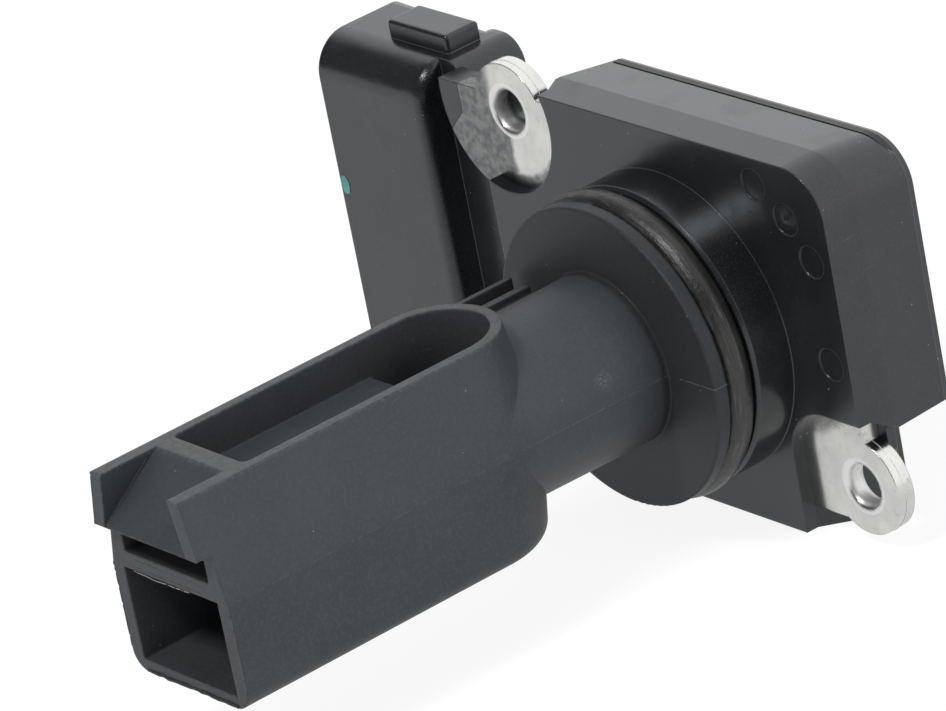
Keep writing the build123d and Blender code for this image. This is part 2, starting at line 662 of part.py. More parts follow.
def post_places():
    """Positions of the sensing posts across the stem."""
    return [(index - (POST_COUNT - 1) / 2) * POST_PITCH for index in range(POST_COUNT)]


def sensing_terminal(index):
    """Square post from the head through the stem into the duct."""
    x = post_places()[index]
    z = (STEM_TOP + STEM_BOTTOM) / 2
    half = POST_SIZE / 2
    tip = CHANNEL_END - STEM_REACH - POST_REACHES[index]
    return block(x - half, x + half, tip, PLATE_BACK + POST_PAD_LENGTH, z - half, z + half)


def sensing_holder():
    """Moulded stem that holds the posts."""
    return stem_area_solid(0) - [sensing_terminal(index) for index in range(POST_COUNT)]


def element(radius, first, last):
    """Round element laid across two posts."""
    places = post_places()
    reach = CHANNEL_END - STEM_REACH - POST_REACHES[first] + ELEMENT_SEAT
    z = (STEM_TOP + STEM_BOTTOM) / 2 + POST_SIZE / 2 + radius
    length = places[last] - places[first] + POST_SIZE
    return Pos((places[first] + places[last]) / 2, reach, z) * Rot(0, 90, 0) * Cylinder(radius, length)


# --- Electronics -----------------------------------------------------------------------------
def blade(index):
    """Connector blade from the socket to its pad inside the head."""
    z = blade_height(index)
    half = BLADE_THICKNESS / 2
    strip = block(SHROUD_MOUTH + BLADE_SETBACK, BLADE_ROOT + BLADE_PAD_LENGTH,
                  SHROUD_MIDDLE - half, SHROUD_MIDDLE + half, z - BLADE_WIDTH / 2, z + BLADE_WIDTH / 2)
    tip_edges = strip.faces().sort_by(Axis.X)[0].edges()
    return chamfer(tip_edges, BLADE_THICKNESS * 0.35)


def board_adhesive():
    """Layer that bonds the board to the plate."""
    layer = slab(area(BOARD_LEFT + 0.5, BOARD_RIGHT - 0.5, BOARD_BOTTOM + 0.5, BOARD_TOP - 0.5),
                 PLATE_BACK, BOARD_FRONT)
    return layer - lead_pair()


def circuit_board():
    """Ceramic board, with holes for the thermistor's leads."""
    board = slab(area(BOARD_LEFT, BOARD_RIGHT, BOARD_BOTTOM, BOARD_TOP), BOARD_FRONT, BOARD_BACK)
    return board - lead_pair()


def control_chip():
    """Packaged signal circuit."""
    half = CHIP_SIZE / 2
    chip = slab(area(CHIP_X - half, CHIP_X + half, BOARD_MIDDLE - half, BOARD_MIDDLE + half),
                BOARD_BACK, BOARD_BACK + CHIP_THICKNESS)
    return chamfer(chip.faces().sort_by(Axis.Y)[-1].edges(), 0.25)


def bridge_transistor():
    """Power transistor that heats the hot wire."""
    half_width = TRANSISTOR_WIDTH / 2
    half_height = TRANSISTOR_HEIGHT / 2
    case = slab(area(TRANSISTOR_X - half_width, TRANSISTOR_X + half_width,
                     BOARD_MIDDLE - half_height, BOARD_MIDDLE + half_height),
                BOARD_BACK, BOARD_BACK + TRANSISTOR_THICKNESS)
    return chamfer(case.faces().sort_by(Axis.Y)[-1].edges(), 0.3)


def row_of_parts(count, pitch, size, x0, z):
    """Row of equal small parts on the board."""
    width, height, thickness = size
    return [block(x0 + index * pitch - width / 2, x0 + index * pitch + width / 2,
                  BOARD_BACK, BOARD_BACK + thickness, z - height / 2, z + height / 2)
            for index in range(count)]


def chip_capacitors():
    """Row of chip capacitors along the board's top edge."""
    start = CHIP_X - (CAPACITOR_COUNT - 1) / 2 * CAPACITOR_PITCH
    return row_of_parts(CAPACITOR_COUNT, CAPACITOR_PITCH, CAPACITOR_SIZE, start, BOARD_TOP - 1.7)


def chip_resistors():
    """Row of chip resistors along the board's bottom edge."""
    start = CHIP_X - 1.5 * RESISTOR_PITCH
    return row_of_parts(RESISTOR_COUNT, RESISTOR_PITCH, RESISTOR_SIZE, start, BOARD_BOTTOM + 2.2)


def bond_wire(start, end):
    """Wire from one pad over to another in three straight runs."""
    rise = Vector(0, WIRE_HEIGHT, 0)
    low = Vector(*start)
    high = Vector(*end)
    level = max(low.Y, high.Y) + WIRE_HEIGHT
    first = Vector(low.X, level, low.Z)
    second = Vector(high.X, level, high.Z)
    route = FilletPolyline(low, first, second, high, radius=WIRE_HEIGHT * 0.45)
    section = Plane(origin=route @ 0, z_dir=rise) * Rectangle(WIRE_WIDTH, WIRE_WIDTH)
    return sweep(section, path=route)


def bond_wires():
    """Wires from the board to the blades and to the sensing posts."""
    wires = []
    pad_y = SHROUD_MIDDLE + BLADE_THICKNESS / 2
    spread = (BOARD_TOP - BOARD_BOTTOM - 3) / (BLADE_COUNT - 1)
    for index in range(BLADE_COUNT):
        z = blade_height(index)
        start = (BLADE_ROOT + BLADE_PAD_LENGTH - WIRE_PAD_INSET, pad_y, z)
        end = (BOARD_LEFT + WIRE_PAD_INSET, BOARD_BACK, BOARD_BOTTOM + 1.5 + index * spread)
        wires.append(bond_wire(start, end))
    post_z = (STEM_TOP + STEM_BOTTOM) / 2
    for x in post_places():
        start = (x, PLATE_BACK + POST_PAD_LENGTH, post_z)
        wires.append(bond_wire(start, (x, BOARD_BACK, BOARD_BOTTOM + WIRE_PAD_INSET)))
    return wires


def potting_gel(inner_parts):
    """Soft gel that fills the head's floor and covers the board's parts."""
    level = BOARD_BACK + TRANSISTOR_THICKNESS + GEL_COVER
    return slab(head_area(HEAD_WALL), PLATE_BACK, level) - inner_parts


# --- Assembly --------------------------------------------------------------------------------
def inner_nodes():
    """Nodes that lie in the gel."""
    nodes = {
        "board_adhesive": [board_adhesive()],
        "circuit_board": [circuit_board()],
        "control_chip": [control_chip()],
        "bridge_transistor": [bridge_transistor()],
        "chip_capacitors": chip_capacitors(),
        "chip_resistors": chip_resistors(),
        "bond_wires": bond_wires(),
        "thermistor_leads": lead_pair(),
    }
    for index in range(BLADE_COUNT):
        nodes[f"connector_terminal_{index + 1}"] = [blade(index)]
    for index in range(POST_COUNT):
        nodes[f"sensing_terminal_{index + 1}"] = [sensing_terminal(index)]
    return nodes


def all_nodes():
    """Every node with its solids."""
    nodes = inner_nodes()
    inner_parts = [solid for solids in nodes.values() for solid in solids]
    nodes["potting_gel"] = [potting_gel(inner_parts)]
    nodes["sensor_housing"] = [sensor_housing()]
    nodes["base_plate"] = [base_plate()]
    nodes["rear_cover"] = [rear_cover()]
    nodes["cover_sealant"] = [sealant_ring()]
    nodes["bypass_body"] = [bypass_body()]
    nodes["bypass_partition"] = [bypass_partition()]
    nodes["o_ring"] = [seal_ring()]
    nodes["sensing_holder"] = [sensing_holder()]
    nodes["hot_wire"] = [element(HOT_WIRE_RADIUS, 0, 3)]
    nodes["cold_wire"] = [element(COLD_WIRE_RADIUS, 1, 2)]
    nodes["air_temperature_thermistor"] = [thermistor_bead()]
    return nodes


def write_node(name, solids):
    """Write one node's solids to their own STEP file."""
    pieces = [piece for solid in solids for piece in solid.solids()]
    shape = pieces[0] if len(pieces) == 1 else Compound(children=pieces)
    shape.label = name
    export_step(shape, f"parts/{name}.step")


os.makedirs("parts", exist_ok=True)
for node_name, node_solids in all_nodes().items():
    write_node(node_name, node_solids)
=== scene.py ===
"""Mass airflow sensor: finishes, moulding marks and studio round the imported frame."""
from __future__ import annotations

import json
import logging
import math
from dataclasses import dataclass, replace
from enum import Enum
from typing import Any, Sequence

import bpy
from mathutils import Matrix, Vector

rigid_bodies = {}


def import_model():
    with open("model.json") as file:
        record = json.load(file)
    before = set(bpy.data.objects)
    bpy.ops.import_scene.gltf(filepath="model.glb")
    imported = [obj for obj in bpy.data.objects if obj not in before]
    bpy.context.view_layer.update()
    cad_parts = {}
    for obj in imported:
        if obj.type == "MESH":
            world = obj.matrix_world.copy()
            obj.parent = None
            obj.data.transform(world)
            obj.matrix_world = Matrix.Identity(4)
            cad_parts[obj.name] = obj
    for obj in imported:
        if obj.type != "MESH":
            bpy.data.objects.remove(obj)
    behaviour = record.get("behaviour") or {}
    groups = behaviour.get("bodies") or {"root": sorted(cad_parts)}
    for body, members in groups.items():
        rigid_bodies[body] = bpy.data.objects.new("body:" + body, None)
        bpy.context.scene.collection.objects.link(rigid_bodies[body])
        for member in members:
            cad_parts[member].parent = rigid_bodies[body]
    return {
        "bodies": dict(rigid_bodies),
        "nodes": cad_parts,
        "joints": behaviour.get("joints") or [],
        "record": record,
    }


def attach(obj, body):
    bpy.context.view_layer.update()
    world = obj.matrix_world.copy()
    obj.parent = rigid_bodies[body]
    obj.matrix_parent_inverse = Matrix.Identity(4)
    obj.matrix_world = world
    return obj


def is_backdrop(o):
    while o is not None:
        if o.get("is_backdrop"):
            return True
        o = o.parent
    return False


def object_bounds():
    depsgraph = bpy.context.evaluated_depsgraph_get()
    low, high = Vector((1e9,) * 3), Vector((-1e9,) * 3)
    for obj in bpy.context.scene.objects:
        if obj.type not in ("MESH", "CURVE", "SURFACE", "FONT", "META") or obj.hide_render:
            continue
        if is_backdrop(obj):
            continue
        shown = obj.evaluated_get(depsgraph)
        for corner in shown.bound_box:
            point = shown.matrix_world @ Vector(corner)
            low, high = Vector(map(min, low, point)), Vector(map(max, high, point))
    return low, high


LOG = logging.getLogger("airflow_sensor")
MM = 0.001
Material = bpy.types.Material
Colour = tuple[float, float, float]
Point = tuple[float, float, float]

# Holes of the two ears, as X and Z in millimetres
UPPER_EAR = (-23.1, 16.1)
LOWER_EAR = (20.7, -13.05)

# Input and output sockets that a Mix node uses for colours and for vectors
COLOUR_A, COLOUR_B, COLOUR_RESULT = 6, 7, 2
VECTOR_A, VECTOR_B, VECTOR_RESULT = 4, 5, 1

BEVEL_SAMPLES = 6
FINE_BEVEL_SAMPLES = 10
EDGE_COSINES = (0.995, 0.80)    # rounded against plain normal: where an edge starts and where it is full
SMALLEST_SPECK = 0.4            # radius of the smallest speck, as a share of the largest
SHORTEST_SCRATCH = 0.15         # half length of the shortest scratch, as a share of the longest's length


class Slot(Enum):
    """Material slots of the record whose pieces show."""

    HOUSING = "black_housing"
    PROBE = "grey_probe"
    PLATE = "cast_plate"
    SEAL = "seal_rubber"


class Side(Enum):
    """Sides of the probe, as the sign of X."""

    RIGHT = 1.0
    LEFT = -1.0


def scaled(parts: Colour | Point, factor: float) -> Colour | Point:
    """Colour or place with each of its parts multiplied."""
    return tuple(factor * part for part in parts)


class Value:
    """A number socket of a shader that takes part in Python arithmetic."""

    def __init__(self, graph: ShaderGraph, socket: Any) -> None:
        """Wrap an output socket of one of the graph's nodes."""
        self.graph = graph
        self.socket = socket

    def maths(self, operation: str, *others: Value | float, swapped: bool = False) -> Value:
        """Add a Math node on this value.

        Args:
            operation: Blender's name of the operation.
            others: The other inputs, as values or numbers.
            swapped: True to put this value second.

        Returns:
            The node's result.
        """
        inputs = [*others, self] if swapped else [self, *others]
        node = self.graph.node("ShaderNodeMath", {"operation": operation}, dict(enumerate(inputs)))
        return Value(self.graph, node.outputs[0])

    def __add__(self, other: Value | float) -> Value:
        """Sum."""
        return self.maths("ADD", other)

    def __radd__(self, other: float) -> Value:
        """Sum with a number first."""
        return self.maths("ADD", other)

    def __sub__(self, other: Value | float) -> Value:
        """Difference."""
        return self.maths("SUBTRACT", other)

    def __rsub__(self, other: float) -> Value:
        """Difference from a number."""
        return self.maths("SUBTRACT", other, swapped=True)

    def __mul__(self, other: Value | float) -> Value:
        """Product."""
        return self.maths("MULTIPLY", other)

    def __rmul__(self, other: float) -> Value:
        """Product with a number first."""
        return self.maths("MULTIPLY", other)

    def __pow__(self, other: Value | float) -> Value:
        """Power."""
        return self.maths("POWER", other)

    def size(self) -> Value:
        """Absolute value."""
        return self.maths("ABSOLUTE")

    def over(self, low: float, high: float) -> Value:
        """Step smoothly from 0 at one bound to 1 at the other.

        Args:
            low: Value that gives 0.
            high: Value that gives 1, which may be the smaller one.

        Returns:
            The smooth step.
        """
        settings = {"interpolation_type": "SMOOTHSTEP"}
        inputs = {"Value": self, "From Min": low, "From Max": high}
        node = self.graph.node("ShaderNodeMapRange", settings, inputs)
        return Value(self.graph, node.outputs["Result"])

    def least(self, other: Value | float) -> Value:
        """Smaller of two values."""
        return self.maths("MINIMUM", other)

    def most(self, other: Value | float) -> Value:
        """Larger of two values."""
        return self.maths("MAXIMUM", other)


class NodeGraph:
    """A node tree whose nodes are all made in one way."""

    def __init__(self, tree: bpy.types.NodeTree) -> None:
        """Take the tree of a material, a world or a group, and empty it."""
        self.tree = tree
        self.tree.nodes.clear()

    def node(self, kind: str, settings: dict[str, Any] | None = None,
             inputs: dict[str | int, Any] | None = None) -> Any:
        """Make one node.

        Args:
            kind: Blender's type name of the node.
            settings: Properties, which are set first.
            inputs: Numbers, colours, sockets or values by the input's name or number.

        Returns:
            The node.
        """
        node = self.tree.nodes.new(kind)
        for key, setting in (settings or {}).items():
            setattr(node, key, setting)
        for key, given in (inputs or {}).items():
            socket = given.socket if isinstance(given, Value) else given
            if isinstance(socket, bpy.types.NodeSocket):
                self.tree.links.new(socket, node.inputs[key])
            else:
                node.inputs[key].default_value = socket
        return node


class ShaderGraph(NodeGraph):
    """One material's node tree, with short calls for the nodes it needs."""

    def __init__(self, name: str) -> None:
        """Make an empty material.

        Args:
            name: Name of the material.
        """
        self.material = bpy.data.materials.new(name)
        self.material.use_nodes = True
        super().__init__(self.material.node_tree)
        self.place = self.node("ShaderNodeTexCoord").outputs["Object"]
        parts = self.node("ShaderNodeSeparateXYZ", {}, {"Vector": self.place})
        self.x, self.y, self.z = (Value(self, socket) * (1.0 / MM) for socket in parts.outputs)

    def stretched(self, scale: Point, turn: Point) -> Any:
        """Object coordinates, turned and then scaled.

        Args:
            scale: Scale of each axis.
            turn: Turn about each axis, in degrees.

        Returns:
            A vector socket.
        """
        angles = tuple(math.radians(angle) for angle in turn)
        inputs = {"Vector": self.place, "Rotation": angles, "Scale": scale}
        return self.node("ShaderNodeMapping", {"vector_type": "POINT"}, inputs).outputs[0]

    def noise(self, size: float, detail: float, roughness: float, vector: Any = None) -> Value:
        """Fractal noise with features of a given size.

        Args:
            size: Size of the largest features, in millimetres or in units of the vector.
            detail: Number of finer layers.
            roughness: Weight of the finer layers.
            vector: Coordinates, or None for the object's own.

        Returns:
            The noise, about 0.5 on average.
        """
        source, unit = (self.place, MM) if vector is None else (vector, 1.0)
        inputs = {"Vector": source, "Scale": 1.0 / (size * unit), "Detail": detail, "Roughness": roughness}
        return Value(self, self.node("ShaderNodeTexNoise", {}, inputs).outputs["Fac"])

    def vector_maths(self, operation: str, *vectors: Any) -> Any:
        """Add a Vector Math node on sockets or numbers."""
        return self.node("ShaderNodeVectorMath", {"operation": operation}, dict(enumerate(vectors)))

    def near(self, point_mm: Point, radius_mm: float, inner: float = 0.0) -> Value:
        """Soft round mask about a point, full up to an inner share of its radius."""
        apart = self.vector_maths("DISTANCE", self.place, scaled(point_mm, MM)).outputs["Value"]
        return Value(self, apart).over(radius_mm * MM, inner * radius_mm * MM)

    def cells(self, spacing_mm: float) -> tuple[Any, Any, Value]:
        """Scatter random points through space.

        Args:
            spacing_mm: Mean distance between the points, in millimetres.

        Returns:
            The offset from the nearest point, its random colour, and the distance to it in millimetres.
        """
        inputs = {"Vector": self.place, "Scale": 1.0 / (spacing_mm * MM), "Randomness": 1.0}
        cells = self.node("ShaderNodeTexVoronoi", {"feature": "F1"}, inputs)
        offset = self.vector_maths("SUBTRACT", self.place, cells.outputs["Position"]).outputs[0]
        length = self.vector_maths("LENGTH", offset).outputs["Value"]
        return offset, cells.outputs["Color"], Value(self, length) * (1.0 / MM)

    def blend(self, factor: Value, low: Any, high: Any) -> Any:
        """Blend two colours.

        Args:
            factor: Share of the second colour.
            low: First colour or colour socket.
            high: Second colour or colour socket.

        Returns:
            A colour socket.
        """
        first, second = ((*given, 1.0) if isinstance(given, tuple) else given for given in (low, high))
        inputs = {"Factor": factor, COLOUR_A: first, COLOUR_B: second}
        return self.node("ShaderNodeMix", {"data_type": "RGBA"}, inputs).outputs[COLOUR_RESULT]

    def rounded(self, radius_mm: float, samples: int = BEVEL_SAMPLES) -> Any:
        """Normal of the surface with its edges rounded by a radius."""
        return self.node("ShaderNodeBevel", {"samples": samples}, {"Radius": radius_mm * MM}).outputs[0]

    def edge_mask(self, radius_mm: float) -> Value:
        """Mask of the corners that a rounding would touch.

        Args:
            radius_mm: Radius of the rounding.

        Returns:
            1 on sharp corners and 0 elsewhere.
        """
        plain = self.node("ShaderNodeNewGeometry").outputs["Normal"]
        node = self.vector_maths("DOT_PRODUCT", self.rounded(radius_mm), plain)
        return Value(self, node.outputs["Value"]).over(*EDGE_COSINES)

    def mixed_normal(self, factor: Value, low: Any, high: Any) -> Any:
        """Normal between two normals.

        Args:
            factor: Share of the second normal.
            low: First normal.
            high: Second normal.

        Returns:
            A vector socket.
        """
        inputs = {"Factor": factor, VECTOR_A: low, VECTOR_B: high}
        node = self.node("ShaderNodeMix", {"data_type": "VECTOR"}, inputs)
        return self.vector_maths("NORMALIZE", node.outputs[VECTOR_RESULT]).outputs[0]

    def finish(self, colour: Any, roughness: Value, height: Value, depth_mm: float,
               normal: Any = None, **sockets: Any) -> Material:
        """End the graph in a Principled surface.

        Args:
            colour: Base colour, as a socket.
            roughness: Roughness.
            height: Relief from 0 to 1.
            depth_mm: Height of a full step of relief, in millimetres.
            normal: Normal to start from, or None for the surface's own.
            sockets: Other sockets of the surface by name, with underscores for blanks.

        Returns:
            The finished material.
        """
        relief = {"Height": height, "Strength": 1.0, "Distance": depth_mm * MM}
        if normal is not None:
            relief["Normal"] = normal
        bump = self.node("ShaderNodeBump", {}, relief).outputs[0]
        inputs = {"Base Color": colour, "Roughness": roughness, "Normal": bump}
        inputs.update({name.replace("_", " "): given for name, given in sockets.items()})
        surface = self.node("ShaderNodeBsdfPrincipled", {}, inputs)
        self.node("ShaderNodeOutputMaterial", {}, {"Surface": surface.outputs[0]})
        return self.material


@dataclass(frozen=True)
class Specks:
    """Small round spots, scattered at random."""

    spacing_mm: float
    radius_mm: float
    share: float

    def mask(self, graph: ShaderGraph) -> Value:
        """Mask of the spots on a graph.

        Args:
            graph: Graph of the finish.

        Returns:
            1 inside a spot and 0 elsewhere.
        """
        _, colour, apart = graph.cells(self.spacing_mm)
        pick = graph.node("ShaderNodeSeparateColor", {}, {"Color": colour})
        smallest = SMALLEST_SPECK * self.radius_mm
        radius = Value(graph, pick.outputs["Green"]) * (self.radius_mm - smallest) + smallest
        chosen = Value(graph, pick.outputs["Red"]).maths("LESS_THAN", self.share)
        return (radius - apart).over(0.0, 0.3 * self.radius_mm) * chosen


@dataclass(frozen=True)
class Scratches:
    """Short straight scratches that lie at random angles."""

    spacing_mm: float
    length_mm: float
    width_mm: float
    share: float

    def mask(self, graph: ShaderGraph) -> Value:
        """Mask of the scratches on a graph.

        Args:
            graph: Graph of the finish.

        Returns:
            1 on a scratch and 0 elsewhere.
        """
        offset, colour, apart = graph.cells(self.spacing_mm)
        turned = graph.vector_maths("SUBTRACT", colour, (0.5, 0.5, 0.5)).outputs[0]
        across = graph.vector_maths("NORMALIZE", turned).outputs[0]
        aside = Value(graph, graph.vector_maths("DOT_PRODUCT", offset, across).outputs["Value"]) * (1.0 / MM)
        pick = graph.node("ShaderNodeSeparateColor", {}, {"Color": colour})
        chosen = Value(graph, pick.outputs["Blue"]).maths("LESS_THAN", self.share)
        shortest = SHORTEST_SCRATCH * self.length_mm
        half = Value(graph, pick.outputs["Green"]) * (0.5 * self.length_mm - shortest) + shortest
        line = aside.size().over(self.width_mm, 0.3 * self.width_mm)
        return line * (half - apart).over(0.0, 0.25 * self.length_mm) * chosen


@dataclass(frozen=True)
class HeadMoulding:
    """Finish of the head and connector: black, glossy, with hazy patches, a few nicks, and edges paled
    partly as wear and partly as a painted highlight.
    """

    name: str = "black_moulding"
    colour: Colour = (0.0105, 0.0113, 0.0120)
    pale: Colour = (0.0150, 0.0160, 0.0170)
    # pale colour of nicks, dust and the scuff, also of the painted edge highlight
    mark: Colour = (0.30, 0.31, 0.32)
    tint: tuple[float, float, float, float] = (0.91, 0.965, 1.0, 1.0)
    gloss: float = 0.235
    ior: float = 1.6
    relief_mm: float = 0.0011
    edge_mm: float = 0.22
    pale_edge_mm: float = 0.16
    rim_mm: float = 10.75
    rim_lean: float = 0.10
    shroud_end: float = -36.0
    shroud_edge_mm: float = 1.7
    scuff: Point = (18.1, 0.1, 14.4)
    scuff_mm: float = 1.5
    nicks: Scratches = Scratches(spacing_mm=4.2, length_mm=2.6, width_mm=0.035, share=0.22)
    dust: Specks = Specks(spacing_mm=1.1, radius_mm=0.11, share=0.10)

    def build(self) -> Material:
        """Build the material.

        Returns:
            The material.
        """
        graph = ShaderGraph(self.name)
        cloud = graph.noise(8.0, detail=4.0, roughness=0.55)
        haze = graph.noise(5.0, detail=3.0, roughness=0.6).over(0.50, 0.72)
        speckle = graph.noise(0.20, detail=1.0, roughness=0.5)
        tone = graph.blend(cloud.over(0.30, 0.75), self.colour, self.pale)
        tone = graph.blend(speckle.over(0.45, 0.80) * 0.5, tone, scaled(self.pale, 2.4))
        nicks = self.nicks.mask(graph)
        dust = self.dust.mask(graph)
        patches = graph.noise(1.2, detail=2.0, roughness=0.5).over(0.25, 0.65)
        scuffed = graph.near(self.scuff, self.scuff_mm) * patches
        tone = graph.blend(nicks * 0.28 + scuffed * 0.12, tone, self.mark)
        tone = graph.blend(dust * 0.75, tone, self.mark)
        # painted highlight and wear: sharp edges paled toward the mark colour, partly standing in for the
        # glint an edge catches
        tone = graph.blend(graph.edge_mask(self.pale_edge_mm) * 0.17, tone, self.mark)
        rough = self.gloss + (cloud - 0.5) * 0.10 + haze * 0.07 + nicks * 0.2 + scuffed * 0.3
        height = cloud * 0.5 + dust * 0.8 - nicks * 0.8
        return graph.finish(tone, rough, height, self.relief_mm, self._normal(graph), IOR=self.ior,
                            Specular_Tint=self.tint)

    def _normal(self, graph: ShaderGraph) -> Any:
        """Normal with small round edges, wider on the shroud's end and none at the cover's rim.

        Args:
            graph: Graph of the finish.

        Returns:
            A vector socket.
        """
        rim = graph.y.over(self.rim_mm - 0.5, self.rim_mm - 0.3)
        fine = graph.mixed_normal(rim, graph.rounded(self.edge_mm), self._drafted(graph))
        near_end = (graph.x - self.shroud_end).size().over(2.6, 2.2) * graph.y.over(3.0, 2.6)
        wide = graph.rounded(self.shroud_edge_mm, FINE_BEVEL_SAMPLES)
        return graph.mixed_normal(near_end, fine, wide)

    def _drafted(self, graph: ShaderGraph) -> Any:
        """Normal of the flat faces, leant back a little on the cover's edge like the head's walls.

        Args:
            graph: Graph of the finish.

        Returns:
            A vector socket.
        """
        amount = graph.y.over(self.rim_mm - 0.15, self.rim_mm) * self.rim_lean
        lean = graph.node("ShaderNodeCombineXYZ", {}, {"Y": amount})
        flat = graph.node("ShaderNodeNewGeometry").outputs["True Normal"]
        turned = graph.vector_maths("ADD", flat, lean.outputs[0]).outputs[0]
        return graph.vector_maths("NORMALIZE", turned).outputs[0]


@dataclass(frozen=True)
class ProbeMoulding:
    """Finish of the probe: dull dark grey with glass fibres, flow marks and worn edges, with painted light
    and shade on the disc, well, neck, duct top and rim.
    """

    name: str = "grey_moulding"
    colour: Colour = (0.0325, 0.0355, 0.0390)
    pale: Colour = (0.0425, 0.0462, 0.0500)
    # pale colour of nicks, rubs, dust and worn edges, also of the painted rim highlight
    mark: Colour = (0.21, 0.22, 0.22)
    tint: tuple[float, float, float, float] = (0.90, 0.96, 1.0, 1.0)
    gloss: float = 0.50
    ior: float = 1.43
    relief_mm: float = 0.0085
    edge_mm: float = 0.34
    pale_edge_mm: float = 0.24
    tip_mm: float = -62.0
    flow_scale: Point = (60.0, 320.0, 320.0)
    flow_turn: Point = (0.0, 0.0, 24.0)
    rub: Point = (7.9, -16.4, 2.6)
    rub_mm: float = 1.3
    # middle and radius of the painted shade in the well
    shaded_well: Point = (0.0, -28.0, 3.0)
    shaded_well_mm: float = 8.2
    nicks: Scratches = Scratches(spacing_mm=3.4, length_mm=2.4, width_mm=0.04, share=0.20)
    dust: Specks = Specks(spacing_mm=1.0, radius_mm=0.10, share=0.09)

    def build(self) -> Material:
        """Build the material.

        Returns:
            The material.
        """
        graph = ShaderGraph(self.name)
        cloud = graph.noise(9.0, detail=4.0, roughness=0.55)
        grain = graph.noise(0.11, detail=2.0, roughness=0.6)
        speckle = graph.noise(0.36, detail=3.0, roughness=0.6)
        tone = self._painted_light_and_shade(graph, self._moulded(graph, cloud, speckle))
        nicks = self.nicks.mask(graph)
        dust = self.dust.mask(graph)
        rub = graph.near(self.rub, self.rub_mm, 0.2)
        rub = rub * graph.noise(0.22, detail=3.0, roughness=0.7).over(0.44, 0.58)
        ragged = graph.noise(0.5, detail=3.0, roughness=0.65).over(0.36, 0.66)
        beyond_bore = (graph.x * graph.x + graph.z * graph.z).over(190.0, 200.0)
        outside = beyond_bore.most(graph.y.over(-22.0, -26.0))
        edges = graph.edge_mask(self.pale_edge_mm) * ragged * outside
        tip = graph.y.over(self.tip_mm + 0.8, self.tip_mm - 0.2)
        # painted highlight: the duct rim's top face lightened toward the mark colour, with ragged edges
        rim_highlight = graph.z.over(10.35, 10.65) * graph.y.over(-18.0, -24.0) * ragged
        tone = graph.blend(nicks * 0.22 + rub * 0.45, tone, self.mark)
        tone = graph.blend(dust * 0.8, tone, self.mark)
        tone = graph.blend(edges * (0.18 + tip * 0.35), tone, self.mark)
        tone = graph.blend(rim_highlight * 0.16, tone, self.mark)
        rough = self.gloss + (cloud - 0.5) * 0.14 + nicks * 0.15 + rub * 0.25 + edges * 0.1
        height = grain * 0.7 + speckle * 0.8 + dust * 0.6 - nicks * 0.6 + rub * 0.5
        return graph.finish(tone, rough, height, self.relief_mm, graph.rounded(self.edge_mm),
                            IOR=self.ior, Specular_Tint=self.tint)

    def _moulded(self, graph: ShaderGraph, cloud: Value, speckle: Value) -> Any:
        """Colour of the bare moulding.

        Args:
            graph: Graph of the finish.
            cloud: Noise of the wide patches.
            speckle: Noise of the glass fibres.

        Returns:
            A colour socket.
        """
        place = graph.stretched(self.flow_scale, self.flow_turn)
        flow = graph.noise(1.0, detail=3.0, roughness=0.5, vector=place)
        tone = graph.blend(cloud.over(0.30, 0.75), self.colour, self.pale)
        tone = graph.blend(flow.over(0.60, 0.80) * 0.4, tone, scaled(self.colour, 0.75))
        return graph.blend(speckle.over(0.42, 0.78) * 0.42, tone, scaled(self.pale, 1.8))

    def _painted_light_and_shade(self, graph: ShaderGraph, tone: Any) -> Any:
        """Paint shade on the disc's face and in the well, and paint light on the neck and the duct's top.

        Args:
            graph: Graph of the finish.
            tone: Colour so far.

        Returns:
            A colour socket.
        """
        # painted shade: the disc's face darkened
        disc = graph.y.over(-10.6, -9.8)
        tone = graph.blend(disc * 0.50, tone, scaled(self.colour, 0.22))
        # painted light: the duct's top half and the neck lightened
        upper = graph.z.over(-4.0, 4.0) * graph.y.over(-26.0, -30.0)
        neck = graph.y.over(-28.0, -24.0) * (1.0 - disc)
        tone = graph.blend(upper * 0.30 + neck * 0.32, tone, scaled(self.colour, 1.9))
        # painted shade: the well darkened
        shaded_well = graph.near(self.shaded_well, self.shaded_well_mm, 0.35)
        return graph.blend(shaded_well * 0.65, tone, scaled(self.colour, 0.15))


